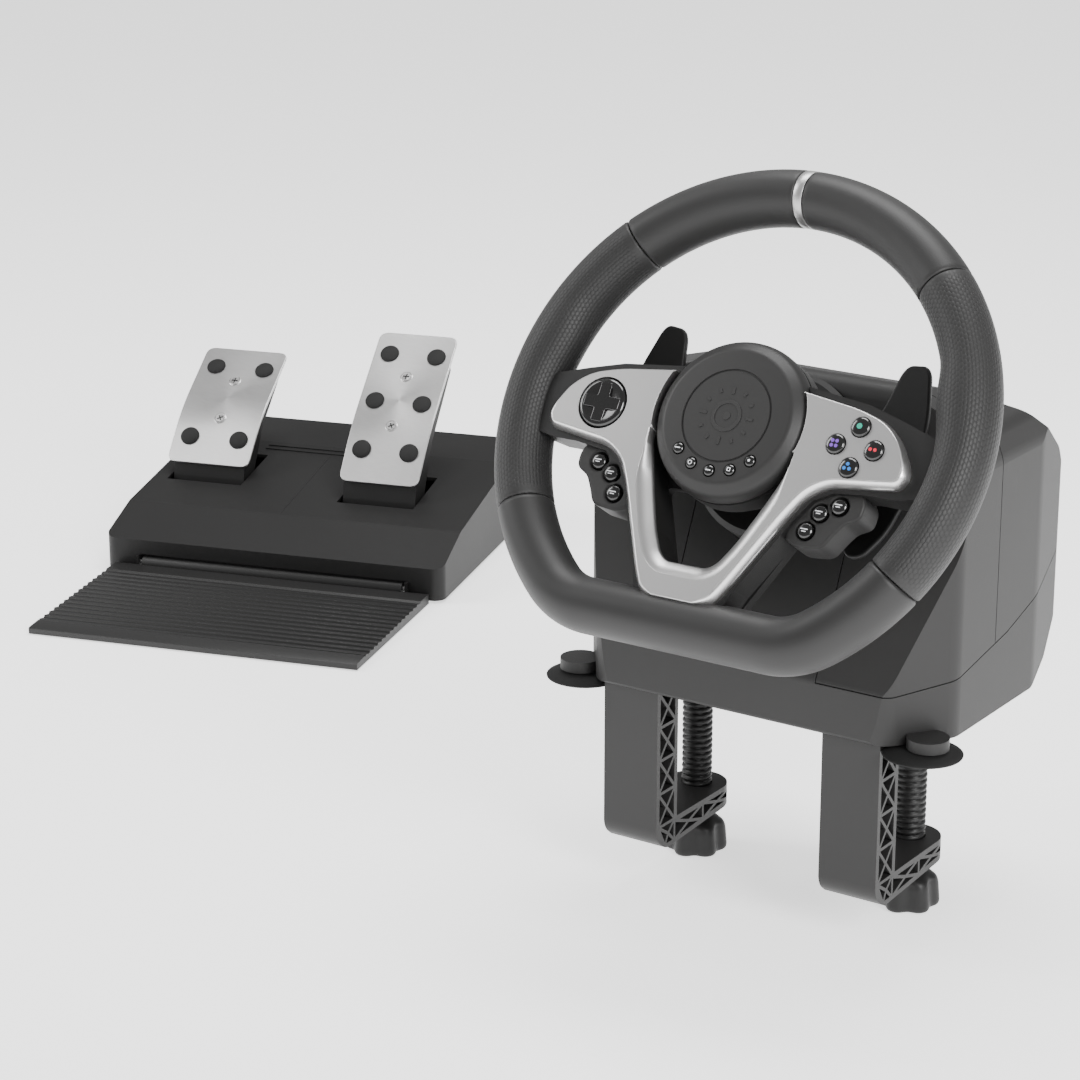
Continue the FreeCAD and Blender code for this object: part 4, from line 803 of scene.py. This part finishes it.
HUB_ICONS = [[bar(3.2, 0.6)], [circle_loop(0, 0, 1.2, 20), circle_loop(0, 0, 0.75, 20)], [bar(3.0, 0.6)],
             [bar(2.0, 2.0), bar(1.2, 1.2)], [circle_loop(0, 0, 0.7, 16)]]
for count, (x, y) in enumerate(hub_spots, start=1):
    body = "hub_button_%d" % count
    place = shifted(WHEEL, x, y)
    key(body + "_cap", body, 2.9, 10.2, 17.9, place, 0.35)
    icon(body + "_icon", body, HUB_ICONS[count - 1], 18.2, place, ICON)

def cross_outline(arm, reach):
    """A plus sign."""
    return [(arm, arm), (reach, arm), (reach, -arm), (arm, -arm), (arm, -reach), (-arm, -reach), (-arm, -arm),
            (-reach, -arm), (-reach, arm), (-arm, arm), (-arm, reach), (arm, reach)]


# Direction pad: a dished disc with a raised cross.
pad_place = shifted(WHEEL, -PAD_X, PAD_Y)
dish = [(0, 6.2), (8.9, 6.2), (13.0, 11.6), (13.4, 13.0), (13.4, 14.4), (12.9, 15.5), (12.0, 16.2),
        (10.8, 16.3), (8, 15.5), (4, 15.1), (0, 15.0)]
piece("direction_pad_disc", lathe("direction_pad_disc", dish, pad_place, 72), "direction_pad", GLOSS_KEY,
      ["direction_pad"], crease=40)
cross = closed_outline(cross_outline(3.4, 10.6), 1.0, 3)
cross_mesh = plate("direction_pad_cross", [cross], 14.6, 16.5, 0.5, pad_place)
piece("direction_pad_cross", cross_mesh, "direction_pad", GLOSS_KEY)

# ------------------------------------------------------------------ paddles

PADDLE = [(34, 9), (52, 12), (60, 30), (64, 50), (67, 55), (77, 56), (80, 52), (86, 30), (88, 8), (87, -14),
          (82, -34), (73, -48), (65, -50), (58, -42), (56, -24), (50, -11), (34, -9)]
PADDLE_RADII = [2, 6, 5, 4, 3, 3, 4, 8, 8, 8, 6, 4, 4, 5, 6, 4, 2]
for name, side in (("left", -1), ("right", 1)):
    blade = closed_outline([(side * x, y) for x, y in PADDLE], PADDLE_RADII)
    body = name + "_paddle"
    mesh = plate(body + "_blade", [blade], -32, -28, 1.3, WHEEL, 4)
    piece(body + "_blade", mesh, body, BLACK, [body], crease=45)

# ------------------------------------------------------------------ clamp screws

SCREW_TOP = -18.0
KNOB_TOP = -93.5
KNOB_LOW = -114.0
PITCH = 3.4
CORE_RADIUS = 7.35
ROW_HEIGHT = 0.4


def thread(angle, height):
    """The share of the core radius that a round thread adds, wound upward."""
    if height > SCREW_TOP - 0.5 or height < KNOB_TOP + 0.5:
        return 1
    phase = (height / PITCH - angle / (2 * math.pi)) % 1
    return 1 + 0.16 * math.sin(math.pi * phase) ** 0.7


def star(angle, height):
    """Six soft lobes round the knob."""
    depth = ease((KNOB_TOP - height) / 6)
    return 1 - 0.17 * depth * (0.5 + 0.5 * math.cos(6 * angle)) ** 1.3


for name, side in (("left", -1), ("right", 1)):
    spot = Matrix.Translation((side * 67 * MM, -26.3 * MM, 0)) @ ROW
    body = name + "_clamp_screw"
    rows = int((SCREW_TOP - KNOB_TOP) / ROW_HEIGHT)
    stem = [(0, -10), (4.6, -10), (5, -10.4), (5, SCREW_TOP)]
    stem += [(CORE_RADIUS, SCREW_TOP + (KNOB_TOP - SCREW_TOP) * k / rows) for k in range(rows + 1)]
    stem += [(CORE_RADIUS, KNOB_TOP - 2), (0, KNOB_TOP - 2)]
    mesh = lathe(name + "_screw_thread", stem, spot, 48, thread)
    piece(name + "_screw_thread", mesh, body, BLACK, [body], crease=60)
    knob = [(0, KNOB_TOP), (8.6, KNOB_TOP), (12, KNOB_TOP - 1.5), (15.5, KNOB_TOP - 4), (16.6, KNOB_TOP - 7),
            (17.5, KNOB_LOW + 3), (17.3, KNOB_LOW + 1.2), (16.2, KNOB_LOW), (0, KNOB_LOW)]
    mesh = lathe(name + "_screw_knob", rounded_profile(knob, 2, 3), spot, 96, star)
    piece(name + "_screw_knob", mesh, body, BLACK, crease=50)

# ------------------------------------------------------------------ feet

CUP = [(0, 4), (7, 4), (9, 3.6), (14, 2.4), (18, 1.6), (20.5, 1.1), (21, 0.6), (20.8, 0.0), (19, 0.0),
       (14, 1.0), (8, 2.2), (0, 2.6)]
CUP_SPOTS = [(-103, -86), (103, -86), (-60, 0), (60, 0)]
for count, (x, y) in enumerate(CUP_SPOTS):
    spot = Matrix.Translation((x * MM, y * MM, 0)) @ ROW
    mesh = lathe("suction_cup_%d" % count, CUP, spot, 64)
    stands_for = ["desk_feet"] if count == 0 else []
    piece("suction_cup_%d" % count, mesh, "base", RUBBER, stands_for, crease=50)
rest = [(-35, -30), (35, -30), (35, 30), (-35, 30)]
rest_mesh = plate("desk_rest_pad", [closed_outline(rest, 4)], 0, 4, 0.5, ROW)
piece("desk_rest_pad", rest_mesh, "base", RUBBER)

# ------------------------------------------------------------------ pedals

# Each plate's left edge, width, side line, and the shares of its length that hold a row of studs.
PEDAL_SET = {"gas": (22.0, 60.0, [(76, 58), (104, 92), (168, 145)], (0.20, 0.52, 0.85)),
             "brake": (-117.0, 64.0, [(88, 57), (118, 89), (171, 122)], (0.20, 0.82))}
SCREW_SHARES = (0.36, 0.70)
STUD_ACROSS = (0.2, 0.8)
STUD = [(0, -0.2), (7.0, -0.2), (7.0, 0.7), (6.7, 1.3), (5.6, 2.1), (3.8, 2.7), (1.8, 2.95), (0, 3.0)]
SCREW_HEAD = [(0, -0.3), (4.6, -0.3), (4.6, 0.15), (4.1, 0.4), (3.9, 0.1), (3.3, 0.05), (3.1, 0.5), (0, 0.7)]
PLATE_THICK = 2.0
BEND = 18.0


def bent(line, run, lift):
    """A point on a plate bent over a short arc: run along it, lift square to it."""
    near, knee, far = (Vector(point) for point in line)
    first = (knee - near).normalized()
    second = (far - knee).normalized()
    beyond = run - (knee - near).length
    share = max(0.0, min(1.0, (beyond + BEND) / (2 * BEND)))
    ahead = first.lerp(second, share).normalized()
    if beyond < -BEND:
        base = knee + first * beyond
    elif beyond > BEND:
        base = knee + second * beyond
    else:
        base = knee - first * BEND * (1 - share) ** 2 + second * BEND * share ** 2
    return base + Vector((-ahead.y, ahead.x)) * lift


def on_plate(line, x, run):
    """A place standing on a bent plate: Z square to it."""
    low = bent(line, run - 0.5, 0)
    high = bent(line, run + 0.5, 0)
    up = Vector((0, high.x - low.x, high.y - low.y)).normalized()
    out = Vector((0, -up.z, up.y))
    spot = bent(line, run, 0)
    turn = Matrix((Vector((1, 0, 0)), up, out)).transposed().to_4x4()
    return PEDALS @ Matrix.Translation((x, spot.x, spot.y)) @ turn


for name, (left, width, line, rows) in PEDAL_SET.items():
    knee = math.hypot(line[1][0] - line[0][0], line[1][1] - line[0][1])
    length = knee + math.hypot(line[2][0] - line[1][0], line[2][1] - line[1][1])
    loop = closed_outline([(left, 0), (left + width, 0), (left + width, length), (left, length)], 7)
    mesh = plate(name + "_tread_plate", [loop], -PLATE_THICK, 0, 0.45, Matrix.Identity(4), 2)
    form = bmesh.new()
    form.from_mesh(mesh)
    for cut in range(-int(BEND), int(BEND) + 1, 3):
        geometry = form.verts[:] + form.edges[:] + form.faces[:]
        bmesh.ops.bisect_plane(form, geom=geometry, plane_co=(0, knee + cut, 0), plane_no=(0, 1, 0))
    for vertex in form.verts:
        point = bent(line, vertex.co.y, vertex.co.z)
        vertex.co = (vertex.co.x, point.x, point.y)
    body = name + "_pedal"
    mesh = from_bmesh(name + "_tread_plate", form, PEDALS)
    piece(name + "_tread_plate", mesh, body, BRUSHED, [name + "_plate"], crease=40)
    spots = [(across, share) for share in rows for across in STUD_ACROSS]
    for number, (across, share) in enumerate(spots):
        place = on_plate(line, left + width * across, length * share)
        piece("%s_stud_%d" % (name, number), lathe("stud", STUD, place, 40), body, RUBBER,
              [name + "_studs"] if number == 0 else [], crease=45)
    for number, share in enumerate(SCREW_SHARES):
        place = on_plate(line, left + width / 2, length * share)
        head = lathe("screw", SCREW_HEAD, place, 40)
        piece("%s_plate_screw_%d" % (name, number), head, body, STEEL, crease=40)
        turned = place @ Matrix.Rotation(0.5 + number, 4, "Z")
        recess = plate("recess", [cross_outline(0.45, 2.3)], 0.4, 0.74, 0.04, turned, 1)
        piece("%s_screw_recess_%d" % (name, number), recess, body, BLACK)

# Heel plate: a ribbed tread whose ribs step up towards the driver's heel, and its hinge strip.
HEEL_DEPTH = 142.0
HEEL_HALF = 117.8
HINGE_HALF = 97.8
RIB = 7.6
RIB_COUNT = 14
across_x = PEDALS @ Matrix(((0, 0, 1, 0), (1, 0, 0, 0), (0, 1, 0, 0), (0, 0, 0, 1)))
tread = [(-HEEL_DEPTH + 0.5, 0.2), (-HEEL_DEPTH + 0.2, 3.9), (-HEEL_DEPTH + 1.2, 4.6)]
tread.append((-HEEL_DEPTH + 15.2, 5.2))
for count in range(RIB_COUNT):
    start = -HEEL_DEPTH + 16 + RIB * count
    level = 5.3 + 0.14 * count
    tread += [(start, level - 1.2), (start + 0.7, level - 0.1), (start + 1.6, level),
              (start + RIB - 0.6, level - 1.15)]
tread += [(-18.5, 7.2), (-3, 7.2), (-2.2, 6.4), (-2.2, 0.2)]
tread_mesh = plate("heel_plate_tread", [tread], -HEEL_HALF, HEEL_HALF, 0.12, across_x, 1)
piece("heel_plate_tread", tread_mesh, "heel_plate", HEEL_BLACK, ["heel_plate"], crease=30)
strip = closed_outline([(-3.6, 4), (-3.4, 8.6), (-1.8, 11.4), (0.6, 12.5), (3.2, 11.9), (5, 9.6), (4.8, 7),
                        (2.6, 4.8), (-1, 4.2)], 1.2, 3)
strip_mesh = plate("heel_plate_hinge", [strip], -HINGE_HALF, HINGE_HALF, 0.3, across_x, 2)
piece("heel_plate_hinge", strip_mesh, "heel_plate", HEEL_BLACK)

# Pedal housing: the seam down the middle and two low ribs near its back edge.
ROOF_LOW = 39.4
ROOF_RISE = 17.5
ROOF_RUN = 115
roof_slope = math.atan2(ROOF_RISE, ROOF_RUN)
roof = PEDALS @ Matrix.Translation((0, 42, ROOF_LOW)) @ Matrix.Rotation(roof_slope, 4, "X")
seam_strip = plate("housing_seam", [bar(0.7, 112, -10, 57)], -0.4, 0.12, 0.05, roof, 1)
piece("housing_seam", seam_strip, "pedal_unit", BLACK)
ribs = [bar(92, 1.6, -16, y) for y in (104, 110)]
rib_mesh = plate("housing_ribs", ribs, -0.4, 0.7, 0.3, roof, 2)
piece("housing_ribs", rib_mesh, "pedal_unit", PEDAL_BLACK)

# ------------------------------------------------------------------ frame nodes that stay

slots = {part["node"]: part["material_slot"] for part in frame["record"]["subparts"]}
for node, thing in frame["nodes"].items():
    finish = NODE_FINISH.get(node, SLOT_FINISH[slots[node]])
    thing.data.materials.clear()
    thing.data.materials.append(finish)

# ------------------------------------------------------------------ floor, light, camera

form = bmesh.new()
bmesh.ops.create_grid(form, x_segments=2, y_segments=2, size=6)
floor = bpy.data.objects.new("floor", from_bmesh("floor", form, Matrix.Translation((0, 0, FLOOR - 0.0005))))
floor.data.materials.append(floor_paper("floor_paper"))
bpy.context.scene.collection.objects.link(floor)

world = bpy.data.worlds.new("studio")
world.use_nodes = True
world.node_tree.nodes["Background"].inputs["Color"].default_value = (1, 1, 1, 1)
world.node_tree.nodes["Background"].inputs["Strength"].default_value = 0.42
bpy.context.scene.world = world


def area_light(name, place, aim, size, power):
    lamp = bpy.data.lights.new(name, "AREA")
    lamp.shape = "RECTANGLE"
    lamp.size, lamp.size_y = size
    lamp.energy = power
    thing = bpy.data.objects.new(name, lamp)
    thing.location = place
    thing.rotation_euler = (Vector(aim) - Vector(place)).to_track_quat("-Z", "Y").to_euler()
    bpy.context.scene.collection.objects.link(thing)


area_light("key", (1.7, -0.9, 1.0), (0, 0, 0.1), (0.8, 1.0), 46)
area_light("left", (-1.7, -0.7, 1.1), (-0.3, 0, 0.05), (0.7, 1.3), 20)
area_light("top", (-0.2, 0.5, 1.8), (-0.1, 0, 0), (1.4, 0.8), 34)

camera = bpy.data.objects.new("camera", bpy.data.cameras.new("camera"))
camera.data.lens = 105.6
camera.data.sensor_width = 36
camera.location = (0.7868, -1.4384, 0.6006)
AZIMUTH = math.radians(34.21)
ELEVATION = math.radians(17.92)
level = math.cos(ELEVATION)
look = Vector((-math.sin(AZIMUTH) * level, math.cos(AZIMUTH) * level, -math.sin(ELEVATION)))
camera.rotation_euler = look.to_track_quat("-Z", "Y").to_euler()
camera.data.clip_end = 30
bpy.context.scene.collection.objects.link(camera)
bpy.context.scene.camera = camera
